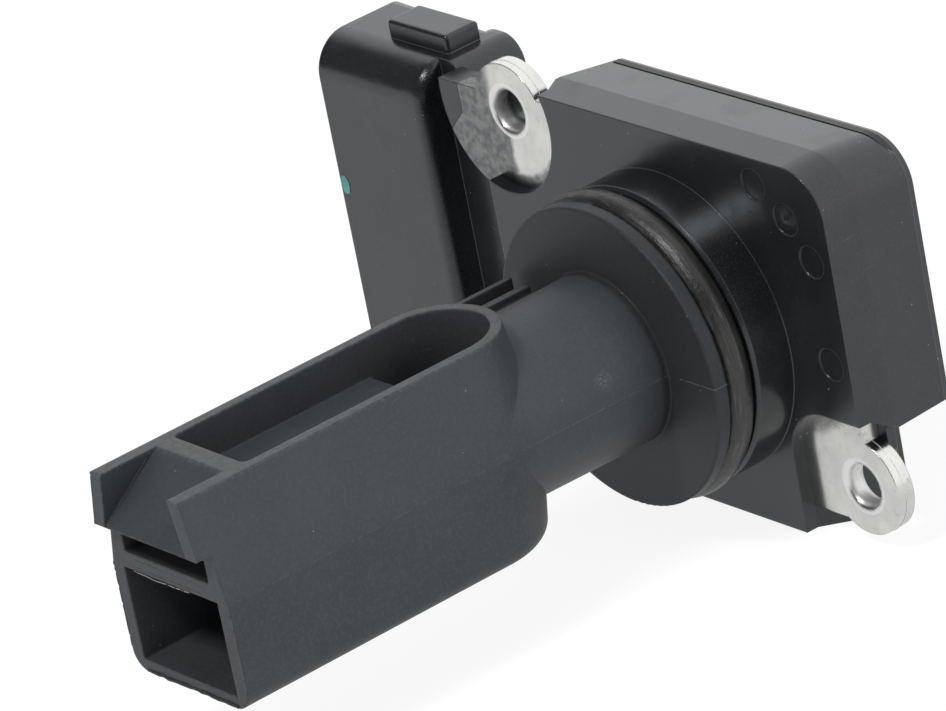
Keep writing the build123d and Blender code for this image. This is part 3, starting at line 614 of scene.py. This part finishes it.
@dataclass(frozen=True)
class BurnishedMetal:
    """Finish of the bare aluminium plate: bright, with grime, tool marks and painted shade on the upper ear.
    """

    name: str = "bare_aluminium"
    colour: Colour = (0.72, 0.72, 0.70)
    # dark colour of the painted shade on the upper ear, and of the real grime
    shade_and_grime: Colour = (0.105, 0.110, 0.115)
    rim_colour: Colour = (0.85, 0.85, 0.85)
    line_colour: Colour = (0.90, 0.90, 0.90)
    gloss: float = 0.13
    relief_mm: float = 0.03
    edge_mm: float = 0.22
    hole_edge_mm: float = 0.8
    lines: Scratches = Scratches(spacing_mm=1.3, length_mm=2.0, width_mm=0.03, share=0.5)

    def build(self) -> Material:
        """Build the material.

        Returns:
            The material.
        """
        graph = ShaderGraph(self.name)
        cloud = graph.noise(3.4, detail=3.0, roughness=0.55)
        soft = graph.noise(1.6, detail=4.0, roughness=0.6)
        fine = graph.noise(0.35, detail=3.0, roughness=0.6)
        lines = self.lines.mask(graph)
        upper = self._ring(graph, UPPER_EAR)
        nearest = upper.least(self._ring(graph, LOWER_EAR))
        rim = nearest.over(2.95, 2.80)
        hole = nearest.over(2.35, 2.15)
        # painted shade: the upper ear's left side and lower part darkened, where the metal mirrors the dark
        # moulding beside it
        painted_shade = self._painted_shade(graph, soft, upper, rim)
        grime = soft.over(0.54, 0.70) * fine.over(0.42, 0.62) * 0.25
        tone = graph.blend(cloud.over(0.3, 0.7), self.colour, scaled(self.colour, 0.86))
        # painted shade and real grime darken the metal with one colour
        tone = graph.blend(painted_shade.most(grime), tone, self.shade_and_grime)
        tone = graph.blend(rim * 0.6, tone, self.rim_colour)
        tone = graph.blend(lines * 0.25, tone, self.line_colour)
        rough = self.gloss + cloud * 0.08 + fine * 0.05 + painted_shade * 0.12 + grime * 0.2 + hole * 0.28
        height = cloud * 0.6 + soft * 0.4 + fine * 0.16 - lines * 0.12
        wide = graph.rounded(self.hole_edge_mm, FINE_BEVEL_SAMPLES)
        normal = graph.mixed_normal(rim, graph.rounded(self.edge_mm), wide)
        return graph.finish(tone, rough, height, self.relief_mm, normal, Metallic=1.0)

    @staticmethod
    def _painted_shade(graph: ShaderGraph, soft: Value, ring: Value, rim: Value) -> Value:
        """Mask of the painted shade on the upper ear's left side and lower part.

        Args:
            graph: Graph of the finish.
            soft: Noise that frays the painted shade's edge.
            ring: Distance from the upper ear's hole, in millimetres.
            rim: Mask of the rims of both holes.

        Returns:
            1 where the painted shade is full.
        """
        across, up = graph.x - UPPER_EAR[0], graph.z - UPPER_EAR[1]
        beside = (across + 0.3 + (soft - 0.5) * 1.6).over(0.35, -0.55)
        left = beside * up.over(3.0, -1.5).most(across.over(-1.8, -3.4))
        low = (ring + (soft - 0.5) * 0.8).over(6.4, 7.0) * up.over(-2.0, -3.5)
        mask = left.most(low * 0.85) * (1.0 - rim * 0.6) * graph.x.over(-14.0, -15.0)
        patch = graph.noise(0.8, detail=4.0, roughness=0.62).over(0.30, 0.70)
        return mask * (0.76 + patch * 0.20)

    @staticmethod
    def _ring(graph: ShaderGraph, ear: tuple[float, float]) -> Value:
        """Distance from the line through an ear's hole, in millimetres."""
        across, up = graph.x - ear[0], graph.z - ear[1]
        return (across * across + up * up) ** 0.5


@dataclass(frozen=True)
class SealRubber:
    """Finish of the O-ring: dark rubber with relief streaks along its length, lightened in colour as painted
    sheen.
    """

    name: str = "seal_rubber"
    colour: Colour = (0.0105, 0.0103, 0.0100)
    cast: Colour = (0.0190, 0.0182, 0.0172)
    # lighter colour of the painted sheen along the streaks
    streak: Colour = (0.070, 0.069, 0.067)
    dust_colour: Colour = (0.25, 0.24, 0.23)
    gloss: float = 0.24
    ior: float = 1.6
    relief_mm: float = 0.060
    round_ring: float = 4.0
    over_ring: float = 3.2
    dust: Specks = Specks(spacing_mm=0.9, radius_mm=0.08, share=0.12)

    def build(self) -> Material:
        """Build the material.

        Returns:
            The material.
        """
        graph = ShaderGraph(self.name)
        streaks = self._streaks(graph)
        cloud = graph.noise(2.2, detail=4.0, roughness=0.6)
        grain = graph.noise(0.16, detail=2.0, roughness=0.5)
        tone = graph.blend(cloud.over(0.42, 0.68), self.colour, self.cast)
        # painted sheen: the streaks lightened in colour, standing in for the ring's lengthwise highlight
        # lines
        tone = graph.blend(streaks.over(0.50, 0.68) * 0.6, tone, self.streak)
        tone = graph.blend(self.dust.mask(graph) * 0.6, tone, self.dust_colour)
        mottle = graph.noise(0.45, detail=3.0, roughness=0.65)
        rough = self.gloss + cloud * 0.12 + streaks * 0.14 + mottle.over(0.4, 0.7) * 0.10
        height = grain * 0.35 + streaks + mottle * 0.9
        return graph.finish(tone, rough, height, self.relief_mm, IOR=self.ior)

    def _streaks(self, graph: ShaderGraph) -> Value:
        """Noise that is drawn out round the ring.

        Args:
            graph: Graph of the finish.

        Returns:
            The noise.
        """
        radius = (graph.x * graph.x + graph.z * graph.z) ** 0.5
        along = graph.z.maths("ARCTAN2", graph.x) * self.round_ring
        inputs = {"X": along, "Y": graph.y * self.over_ring, "Z": radius * self.over_ring}
        place = graph.node("ShaderNodeCombineXYZ", {}, inputs)
        return graph.noise(1.0, detail=3.0, roughness=0.6, vector=place.outputs[0])


@dataclass(frozen=True)
class InnerFinish:
    """Finish of a small piece: one colour with a fine mottle."""

    name: str
    colour: Colour
    roughness: float
    metallic: float = 0.0
    grain_mm: float = 0.3
    relief_mm: float = 0.008

    def build(self) -> Material:
        """Build the material.

        Returns:
            The material.
        """
        graph = ShaderGraph(self.name)
        mottle = graph.noise(self.grain_mm * 6, detail=3.0, roughness=0.6)
        grain = graph.noise(self.grain_mm, detail=2.0, roughness=0.5)
        tone = graph.blend(mottle.over(0.35, 0.7), self.colour, scaled(self.colour, 0.78))
        rough = self.roughness + (mottle - 0.5) * 0.12
        return graph.finish(tone, rough, grain, self.relief_mm, Metallic=self.metallic)


class GeometryGraph(NodeGraph):
    """A Geometry Nodes tree with named inputs, built in code."""

    def __init__(self, name: str, inputs: dict[str, str]) -> None:
        """Make a tree that takes and gives geometry.

        Args:
            name: Name of the tree.
            inputs: Socket type of each input, by its name.
        """
        super().__init__(bpy.data.node_groups.new(name, "GeometryNodeTree"))
        face = self.tree.interface
        face.new_socket("Geometry", in_out="INPUT", socket_type="NodeSocketGeometry")
        face.new_socket("Geometry", in_out="OUTPUT", socket_type="NodeSocketGeometry")
        self.identifiers = {
            label: face.new_socket(label, in_out="INPUT", socket_type=kind).identifier
            for label, kind in inputs.items()
        }
        self.given = self.node("NodeGroupInput").outputs
        self.sink = self.node("NodeGroupOutput")

    def close(self, geometry: Any) -> None:
        """Realize what was instanced, set the material and end the tree.

        Args:
            geometry: Geometry socket that is the result.
        """
        real = self.node("GeometryNodeRealizeInstances", {}, {"Geometry": geometry})
        dressed = self.node("GeometryNodeSetMaterial", {},
                            {"Geometry": real.outputs[0], "Material": self.given["Material"]})
        self.tree.links.new(dressed.outputs[0], self.sink.inputs[0])

    def apply(self, name: str, points: Sequence[Vector], joined: bool,
              values: dict[str, Any]) -> bpy.types.Object:
        """Run the tree on a row of points and keep the result as a plain mesh.

        Args:
            name: Name of the piece.
            points: Places in metres.
            joined: True to join the points by edges.
            values: The tree's inputs by name.

        Returns:
            The finished piece.
        """
        carrier_mesh = bpy.data.meshes.new(name + "_points")
        edges = [(i, i + 1) for i in range(len(points) - 1)] if joined else []
        carrier_mesh.from_pydata([tuple(p) for p in points], edges, [])
        carrier = bpy.data.objects.new(name + "_points", carrier_mesh)
        bpy.context.collection.objects.link(carrier)
        modifier = carrier.modifiers.new("build", "NODES")
        modifier.node_group = self.tree
        for label, given in values.items():
            modifier[self.identifiers[label]] = given
        carrier.update_tag()
        graph = bpy.context.evaluated_depsgraph_get()
        mesh = bpy.data.meshes.new_from_object(carrier.evaluated_get(graph))
        mesh.name = name
        bpy.data.objects.remove(carrier)
        piece = bpy.data.objects.new(name, mesh)
        bpy.context.collection.objects.link(piece)
        return piece


@dataclass(frozen=True)
class RidgeTree:
    """Tree that runs a low, uneven and broken ridge along a line of points."""

    sides: int = 6
    wave_mm: float = 1.3
    seed: int = 5

    def build(self) -> GeometryGraph:
        """Build the tree.

        Returns:
            The tree, with inputs Radius, Unevenness, Kept and Material.
        """
        graph = GeometryGraph("ridge", {"Radius": "NodeSocketFloat", "Unevenness": "NodeSocketFloat",
                                        "Kept": "NodeSocketFloat", "Material": "NodeSocketMaterial"})
        chance = graph.node("FunctionNodeRandomValue", {"data_type": "FLOAT"}, {"Seed": self.seed})
        gap = graph.node("ShaderNodeMath", {"operation": "GREATER_THAN"},
                         {0: chance.outputs[1], 1: graph.given["Kept"]})
        broken = graph.node("GeometryNodeDeleteGeometry", {"domain": "EDGE"},
                            {"Geometry": graph.given["Geometry"], "Selection": gap.outputs[0]})
        line = graph.node("GeometryNodeMeshToCurve", {}, {"Mesh": broken.outputs[0]})
        ring = graph.node("GeometryNodeCurvePrimitiveCircle", {},
                          {"Resolution": self.sides, "Radius": graph.given["Radius"]})
        body = graph.node("GeometryNodeCurveToMesh", {},
                          {"Curve": line.outputs[0], "Profile Curve": ring.outputs[0], "Fill Caps": True})
        wave = graph.node("ShaderNodeTexNoise", {"noise_dimensions": "3D"},
                          {"Scale": 1.0 / (self.wave_mm * MM)})
        middle = graph.node("ShaderNodeVectorMath", {"operation": "SUBTRACT"},
                            {0: wave.outputs["Color"], 1: (0.5, 0.5, 0.5)})
        shift = graph.node("ShaderNodeVectorMath", {"operation": "SCALE"},
                           {0: middle.outputs[0], "Scale": graph.given["Unevenness"]})
        moved = graph.node("GeometryNodeSetPosition", {},
                           {"Geometry": body.outputs[0], "Offset": shift.outputs[0]})
        graph.close(moved.outputs[0])
        return graph


@dataclass(frozen=True)
class RingTree:
    """Tree that lays a thin ring, facing along Y, on each point."""

    corners: int = 40
    sides: int = 6

    def build(self) -> GeometryGraph:
        """Build the tree.

        Returns:
            The tree, with inputs Radius, Thickness and Material.
        """
        graph = GeometryGraph("rings", {"Radius": "NodeSocketFloat", "Thickness": "NodeSocketFloat",
                                        "Material": "NodeSocketMaterial"})
        circle = graph.node("GeometryNodeCurvePrimitiveCircle", {},
                            {"Resolution": self.corners, "Radius": graph.given["Radius"]})
        profile = graph.node("GeometryNodeCurvePrimitiveCircle", {},
                             {"Resolution": self.sides, "Radius": graph.given["Thickness"]})
        ring = graph.node("GeometryNodeCurveToMesh", {},
                          {"Curve": circle.outputs[0], "Profile Curve": profile.outputs[0]})
        copies = graph.node("GeometryNodeInstanceOnPoints", {},
                            {"Points": graph.given["Geometry"], "Instance": ring.outputs[0],
                             "Rotation": (math.pi / 2, 0.0, 0.0)})
        graph.close(copies.outputs[0])
        return graph


def line(corners: Sequence[Point], step_mm: float) -> list[Vector]:
    """Even row of points through some corners.

    Args:
        corners: Corners in millimetres.
        step_mm: Distance between the points, in millimetres.

    Returns:
        The points in metres.
    """
    points = [Vector(corners[0]) * MM]
    for first, last in zip(corners, corners[1:]):
        start, end = Vector(first), Vector(last)
        count = max(1, round((end - start).length / step_mm))
        points += [start.lerp(end, index / count) * MM for index in range(1, count + 1)]
    return points


@dataclass(frozen=True)
class Finishes:
    """Materials of the record's slots and of the small marks."""

    slots: dict[str, Material]
    paint: Material
    flash: Material
    grey_flash: Material
    worn_edge: Material
    burnished_edge: Material

    @classmethod
    def make(cls) -> Finishes:
        """Build every finish once.

        Returns:
            The finishes.
        """
        return cls(
            slots={
                Slot.HOUSING.value: HeadMoulding().build(),
                Slot.PROBE.value: ProbeMoulding().build(),
                Slot.PLATE.value: BurnishedMetal().build(),
                Slot.SEAL.value: SealRubber().build(),
                "sealant": InnerFinish("cured_sealant", (0.012, 0.012, 0.013), 0.4).build(),
                "adhesive": InnerFinish("heat_adhesive", (0.5, 0.5, 0.5), 0.6).build(),
                "ceramic": InnerFinish("white_ceramic", (0.78, 0.77, 0.72), 0.5).build(),
                "chip_black": InnerFinish("chip_epoxy", (0.03, 0.03, 0.032), 0.55).build(),
                "gel": InnerFinish("potting_gel", (0.55, 0.60, 0.62), 0.15).build(),
                "tin_brass": InnerFinish("tinned_brass", (0.72, 0.66, 0.50), 0.3, 1.0).build(),
                "wire_metal": InnerFinish("bright_wire", (0.80, 0.80, 0.80), 0.25, 1.0).build(),
                "element_white": InnerFinish("element_glaze", (0.82, 0.80, 0.75), 0.3).build(),
                "glass_bead": InnerFinish("bead_glass", (0.14, 0.07, 0.03), 0.12).build(),
            },
            paint=InnerFinish("teal_paint", (0.075, 0.31, 0.285), 0.45).build(),
            flash=InnerFinish("pale_flash", (0.26, 0.27, 0.27), 0.6).build(),
            grey_flash=InnerFinish("grey_flash", (0.030, 0.032, 0.033), 0.55).build(),
            worn_edge=InnerFinish("worn_edge", (0.088, 0.092, 0.093), 0.6).build(),
            # near-white colour of the ears' parting-line ridges: a painted glint
            burnished_edge=InnerFinish("burnished_edge", (0.78, 0.78, 0.78), 0.45).build())


@dataclass(frozen=True)
class Trace:
    """A low ridge and its way past some corners; millimetres."""

    name: str
    corners: tuple[Point, ...]
    step: float
    radius: float
    unevenness: float
    kept: float

    def on_side(self, side: Side) -> Trace:
        """The same trace on one side of the probe, named for it."""
        corners = tuple((side.value * x, y, z) for x, y, z in self.corners)
        return replace(self, name=f"{self.name}_{side.name.lower()}", corners=corners)

    def lay(self, tree: GeometryGraph, finish: Material) -> bpy.types.Object:
        """Make the ridge's piece.

        Args:
            tree: Tree that makes ridges.
            finish: Material of the ridge.

        Returns:
            The finished piece.
        """
        return tree.apply(self.name, line(self.corners, self.step), True, {
            "Radius": self.radius * MM, "Unevenness": self.unevenness * MM, "Kept": self.kept,
            "Material": finish})


@dataclass(frozen=True)
class ProbeMarks:
    """Parting lines, burrs and flash that the mould left on the probe."""

    duct: Trace = Trace("duct_parting_line", ((8.55, -61.9, 0.3), (8.55, -28.8, 0.3)),
                        step=0.5, radius=0.028, unevenness=0.03, kept=0.58)
    neck: Trace = Trace("neck_parting_line", ((8.42, -27.2, 0.3), (8.66, -9.5, 0.3)),
                        step=0.4, radius=0.036, unevenness=0.04, kept=0.72)
    disc: Trace = Trace("disc_parting_line", ((10.3, -9.40, 0.3), (15.15, -9.40, 0.3), (15.21, -7.9, 0.3)),
                        step=0.4, radius=0.05, unevenness=0.05, kept=0.95)
    wall: Trace = Trace("wall_edge_burr", ((8.54, -62.0, 0.3), (8.54, -62.0, -8.6)),
                        step=0.3, radius=0.05, unevenness=0.05, kept=0.7)
    cheek: Trace = Trace("cheek_edge_burr", ((6.44, -63.64, 10.7), (7.56, -63.64, 5.15)),
                         step=0.25, radius=0.055, unevenness=0.06, kept=0.9)
    bar: Trace = Trace("outlet_flash", ((-5.4, -62.02, 0.18), (-2.5, -62.02, 0.02), (3.0, -62.02, 0.16)),
                       step=0.2, radius=0.05, unevenness=0.24, kept=0.8)
    foot: Trace = Trace("foot_flash", ((-6.7, -62.02, -10.34), (6.9, -62.02, -10.34)),
                        step=0.3, radius=0.17, unevenness=0.36, kept=1.0)
    ramp: Trace = Trace("ramp_edge_burr", ((-4.97, -57.9, 10.5), (-5.84, -62.4, 6.3)),
                        step=0.3, radius=0.045, unevenness=0.03, kept=0.95)

    def build(self, tree: GeometryGraph, finishes: Finishes) -> list[bpy.types.Object]:
        """Make the pieces.

        Args:
            tree: Tree that makes ridges.
            finishes: Finished materials.

        Returns:
            The pieces.
        """
        paired = (self.duct, self.neck, self.disc, self.wall, self.cheek)
        pieces = [trace.on_side(side).lay(tree, finishes.worn_edge) for side in Side for trace in paired]
        pieces.append(self.bar.lay(tree, finishes.flash))
        pieces.append(self.foot.lay(tree, finishes.grey_flash))
        pieces.append(self.ramp.lay(tree, finishes.worn_edge))
        return pieces


@dataclass(frozen=True)
class PlateMarks:
    """Parting lines round the two ears of the plate, coloured near white as a painted glint; millimetres and
    degrees.
    """

    reach: float = 4.94
    depth: float = 2.25
    upper_arc: tuple[int, int] = (-20, 125)
    lower_arc: tuple[int, int] = (-110, 75)
    turn: int = 5

    def build(self, tree: GeometryGraph, finishes: Finishes) -> list[bpy.types.Object]:
        """Make one ridge round each ear, by the tree that makes ridges."""
        ears = (("upper", UPPER_EAR, self.upper_arc), ("lower", LOWER_EAR, self.lower_arc))
        return [self._trace(word, ear, arc).lay(tree, finishes.burnished_edge) for word, ear, arc in ears]

    def _trace(self, word: str, ear: tuple[float, float], arc: tuple[int, int]) -> Trace:
        """Round stretch of one ear's edge.

        Args:
            word: First word of the piece's name.
            ear: X and Z of the ear's hole.
            arc: First and last angle.

        Returns:
            The trace.
        """
        angles = [math.radians(angle) for angle in range(arc[0], arc[1] + 1, self.turn)]
        corners = tuple((ear[0] + self.reach * math.cos(angle), self.depth,
                         ear[1] + self.reach * math.sin(angle)) for angle in angles)
        return Trace(f"{word}_ear_parting_line", corners,
                     step=1.0, radius=0.035, unevenness=0.03, kept=0.95)


@dataclass(frozen=True)
class HeadMarks:
    """Fine rings round the ejector marks and the dab of paint; sizes and places in millimetres."""

    ejector_marks: tuple[tuple[float, float], ...] = ((14.1, 17.0), (17.9, 14.3), (20.65, 10.6), (20.9, 0.2))
    face: float = -0.002
    ring_radius: float = 1.65
    ring_thickness: float = 0.034
    dab_middle: Point = (-51.25, 0.46, 2.6)
    dab_wide: float = 0.68
    dab_high: float = 1.02
    dab_outline: tuple[tuple[float, float], ...] = (
        (0.95, 0.02), (0.80, 0.55), (0.35, 0.98), (-0.35, 0.95), (-0.85, 0.62),
        (-1.0, 0.05), (-0.80, -0.45), (-0.55, -0.92), (0.10, -1.0), (0.75, -0.80))

    def build(self, tree: GeometryGraph, finishes: Finishes) -> list[bpy.types.Object]:
        """Make the pieces.

        Args:
            tree: Tree that makes rings.
            finishes: Finished materials.

        Returns:
            The pieces.
        """
        places = [Vector((x, self.face, z)) * MM for x, z in self.ejector_marks]
        rings = tree.apply("ejector_rings", places, False, {
            "Radius": self.ring_radius * MM, "Thickness": self.ring_thickness * MM,
            "Material": finishes.grey_flash})
        return [rings, self._paint_dab(finishes.paint)]

    def _paint_dab(self, paint: Material) -> bpy.types.Object:
        """Thin dab on the connector's front face.

        Args:
            paint: Material of the dab.

        Returns:
            The dab.
        """
        middle, wide, high = Vector(self.dab_middle) * MM, self.dab_wide * MM, self.dab_high * MM
        points = [middle + Vector((x * wide, 0.0, z * high)) for x, z in self.dab_outline]
        mesh = bpy.data.meshes.new("paint_dab")
        mesh.from_pydata([tuple(point) for point in points], [], [tuple(range(len(points)))])
        mesh.materials.append(paint)
        if mesh.polygons[0].normal.y > 0:
            mesh.flip_normals()
        dab = bpy.data.objects.new("paint_dab", mesh)
        bpy.context.collection.objects.link(dab)
        return dab


@dataclass(frozen=True)
class Sensor:
    """The sensor's frame nodes, and the marks that ride with them."""

    frame: dict[str, Any]
    finishes: Finishes

    def build(self) -> None:
        """Dress the nodes and add the moulding marks."""
        self.dress_nodes()
        ridges, rings = RidgeTree().build(), RingTree().build()
        for marks, tree, slot in ((ProbeMarks(), ridges, Slot.PROBE), (PlateMarks(), ridges, Slot.PLATE),
                                  (HeadMarks(), rings, Slot.HOUSING)):
            for piece in marks.build(tree, self.finishes):
                self.keep(piece, slot.value)

    def dress_nodes(self) -> None:
        """Give every node of the frame its finish."""
        for part in self.frame["record"]["subparts"]:
            node = self.frame["nodes"][part["node"]]
            node.data.materials.clear()
            node.data.materials.append(self.finishes.slots[part["material_slot"]])
            LOG.info("dressed %s as %s", part["node"], part["material_slot"])

    @staticmethod
    def keep(piece: bpy.types.Object, slot: str) -> None:
        """Let a piece ride with the sensor.

        Args:
            piece: Finished piece.
            slot: The record's material slot; not used.
        """
        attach(piece, "root")
        LOG.info("added %s", piece.name)


@dataclass(frozen=True)
class Lamp:
    """A square soft lamp that looks at the sensor; metres and watts."""

    name: str
    place: Point
    size: float
    power: float
    mirrored: bool
    aim: Point = (0.0, -0.015, 0.0)

    def build(self) -> None:
        """Add the lamp, which glossy surfaces show only if it is mirrored."""
        data = bpy.data.lights.new(self.name, "AREA")
        data.shape = "SQUARE"
        data.size = self.size
        data.energy = self.power
        lamp = bpy.data.objects.new(self.name, data)
        lamp.location = self.place
        lamp.visible_glossy = self.mirrored
        way = Vector(self.aim) - Vector(self.place)
        lamp.rotation_mode = "QUATERNION"
        lamp.rotation_quaternion = way.to_track_quat("-Z", "Y")
        bpy.context.collection.objects.link(lamp)


@dataclass(frozen=True)
class Studio:
    """Pale floor, soft lamps, world and camera; sizes in metres."""

    floor_height: float
    floor_half: float = 4.0
    floor_glow: float = 0.72
    shown_glow: float = 0.16
    rising_glow: float = 0.20
    rise_mm: float = 250.0
    focal_px: float = 7232.5
    image_width: int = 946
    camera_place: Point = (0.49563, -0.37445, 0.27800)
    camera_right: Point = (0.63056, 0.75554, -0.17765)
    camera_up: Point = (-0.21475, 0.38979, 0.89551)
    clip: tuple[float, float] = (0.01, 20.0)
    sensor_mm: float = 36.0
    soft_light: float = 0.42
    bright_side: float = 1.22
    dim_side: float = 0.08
    lamps: tuple[Lamp, ...] = (
        Lamp("key_lamp", (0.10, -0.52, 0.76), size=0.19, power=4.2, mirrored=True),
        Lamp("side_lamp", (0.75, 0.30, 0.25), size=0.5, power=2.4, mirrored=False),
        Lamp("front_lamp", (-0.35, -0.75, 0.30), size=0.5, power=0.9, mirrored=False))

    def build(self) -> None:
        """Build the whole studio."""
        bpy.context.scene.view_settings.view_transform = "Standard"
        self.camera()
        self.floor()
        self.world()
        for lamp in self.lamps:
            lamp.build()

    def camera(self) -> None:
        """Place the camera at the viewing angle."""
        data = bpy.data.cameras.new("camera")
        data.sensor_fit = "HORIZONTAL"
        data.sensor_width = self.sensor_mm
        data.lens = self.focal_px / self.image_width * self.sensor_mm
        data.clip_start, data.clip_end = self.clip
        camera = bpy.data.objects.new("camera", data)
        right, up = Vector(self.camera_right), Vector(self.camera_up)
        back = right.cross(up)
        turn = Matrix((right, up, back)).transposed()
        camera.matrix_world = Matrix.Translation(self.camera_place) @ turn.to_4x4()
        bpy.context.collection.objects.link(camera)
        bpy.context.scene.camera = camera

    def floor(self) -> None:
        """Lay a wide pale floor under the sensor."""
        graph = ShaderGraph("pale_floor")
        path = graph.node("ShaderNodeLightPath")
        plain = graph.node("ShaderNodeBsdfDiffuse", {}, {"Color": (0.80, 0.80, 0.80, 1.0)})
        shaded = graph.node("ShaderNodeBsdfDiffuse", {}, {"Color": (0.18, 0.18, 0.18, 1.0)})
        to_camera = Value(graph, path.outputs["Is Camera Ray"])
        rise = graph.x.over(0.0, self.rise_mm) * self.rising_glow
        shown = to_camera * self.shown_glow + self.floor_glow + rise
        glow = graph.node("ShaderNodeEmission", {}, {"Color": (1.0, 1.0, 1.0, 1.0), "Strength": shown})
        bright = graph.node("ShaderNodeAddShader", {}, {0: shaded.outputs[0], 1: glow.outputs[0]})
        seen = to_camera.most(Value(graph, path.outputs["Is Glossy Ray"]))
        both = graph.node("ShaderNodeMixShader", {}, {0: seen, 1: plain.outputs[0], 2: bright.outputs[0]})
        graph.node("ShaderNodeOutputMaterial", {}, {"Surface": both.outputs[0]})
        half = self.floor_half
        mesh = bpy.data.meshes.new("floor")
        corners = [(-half, -half), (half, -half), (half, half), (-half, half)]
        mesh.from_pydata([(x, y, self.floor_height) for x, y in corners], [], [(0, 1, 2, 3)])
        mesh.materials.append(graph.material)
        floor = bpy.data.objects.new("floor", mesh)
        bpy.context.collection.objects.link(floor)
        floor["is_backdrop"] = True

    def world(self) -> None:
        """Set a white room that reflections show bright behind the sensor and dim in front of it."""
        world = bpy.data.worlds.new("world")
        bpy.context.scene.world = world
        world.use_nodes = True
        graph = NodeGraph(world.node_tree)
        path = graph.node("ShaderNodeLightPath")
        camera = Value(graph, path.outputs["Is Camera Ray"])
        glossy = Value(graph, path.outputs["Is Glossy Ray"])
        place = graph.node("ShaderNodeTexCoord").outputs["Generated"]
        way = graph.node("ShaderNodeSeparateXYZ", {}, {"Vector": place})
        behind = Value(graph, way.outputs["Y"]).over(-0.20, 0.30)
        room = self.dim_side + behind * (self.bright_side - self.dim_side)
        strength = camera + (1.0 - camera) * (glossy * room + (1.0 - glossy) * self.soft_light)
        sky = graph.node("ShaderNodeBackground", {}, {"Color": (1.0, 1.0, 1.0, 1.0), "Strength": strength})
        graph.node("ShaderNodeOutputWorld", {}, {"Surface": sky.outputs[0]})


def main() -> None:
    """Load the frame, dress the sensor and set up the studio."""
    logging.basicConfig(level=logging.INFO, format="%(name)s: %(message)s")
    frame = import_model()
    frame_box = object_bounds()
    Sensor(frame, Finishes.make()).build()
    Studio(floor_height=frame_box[0].z).build()


if __name__ == "__main__":
    main()
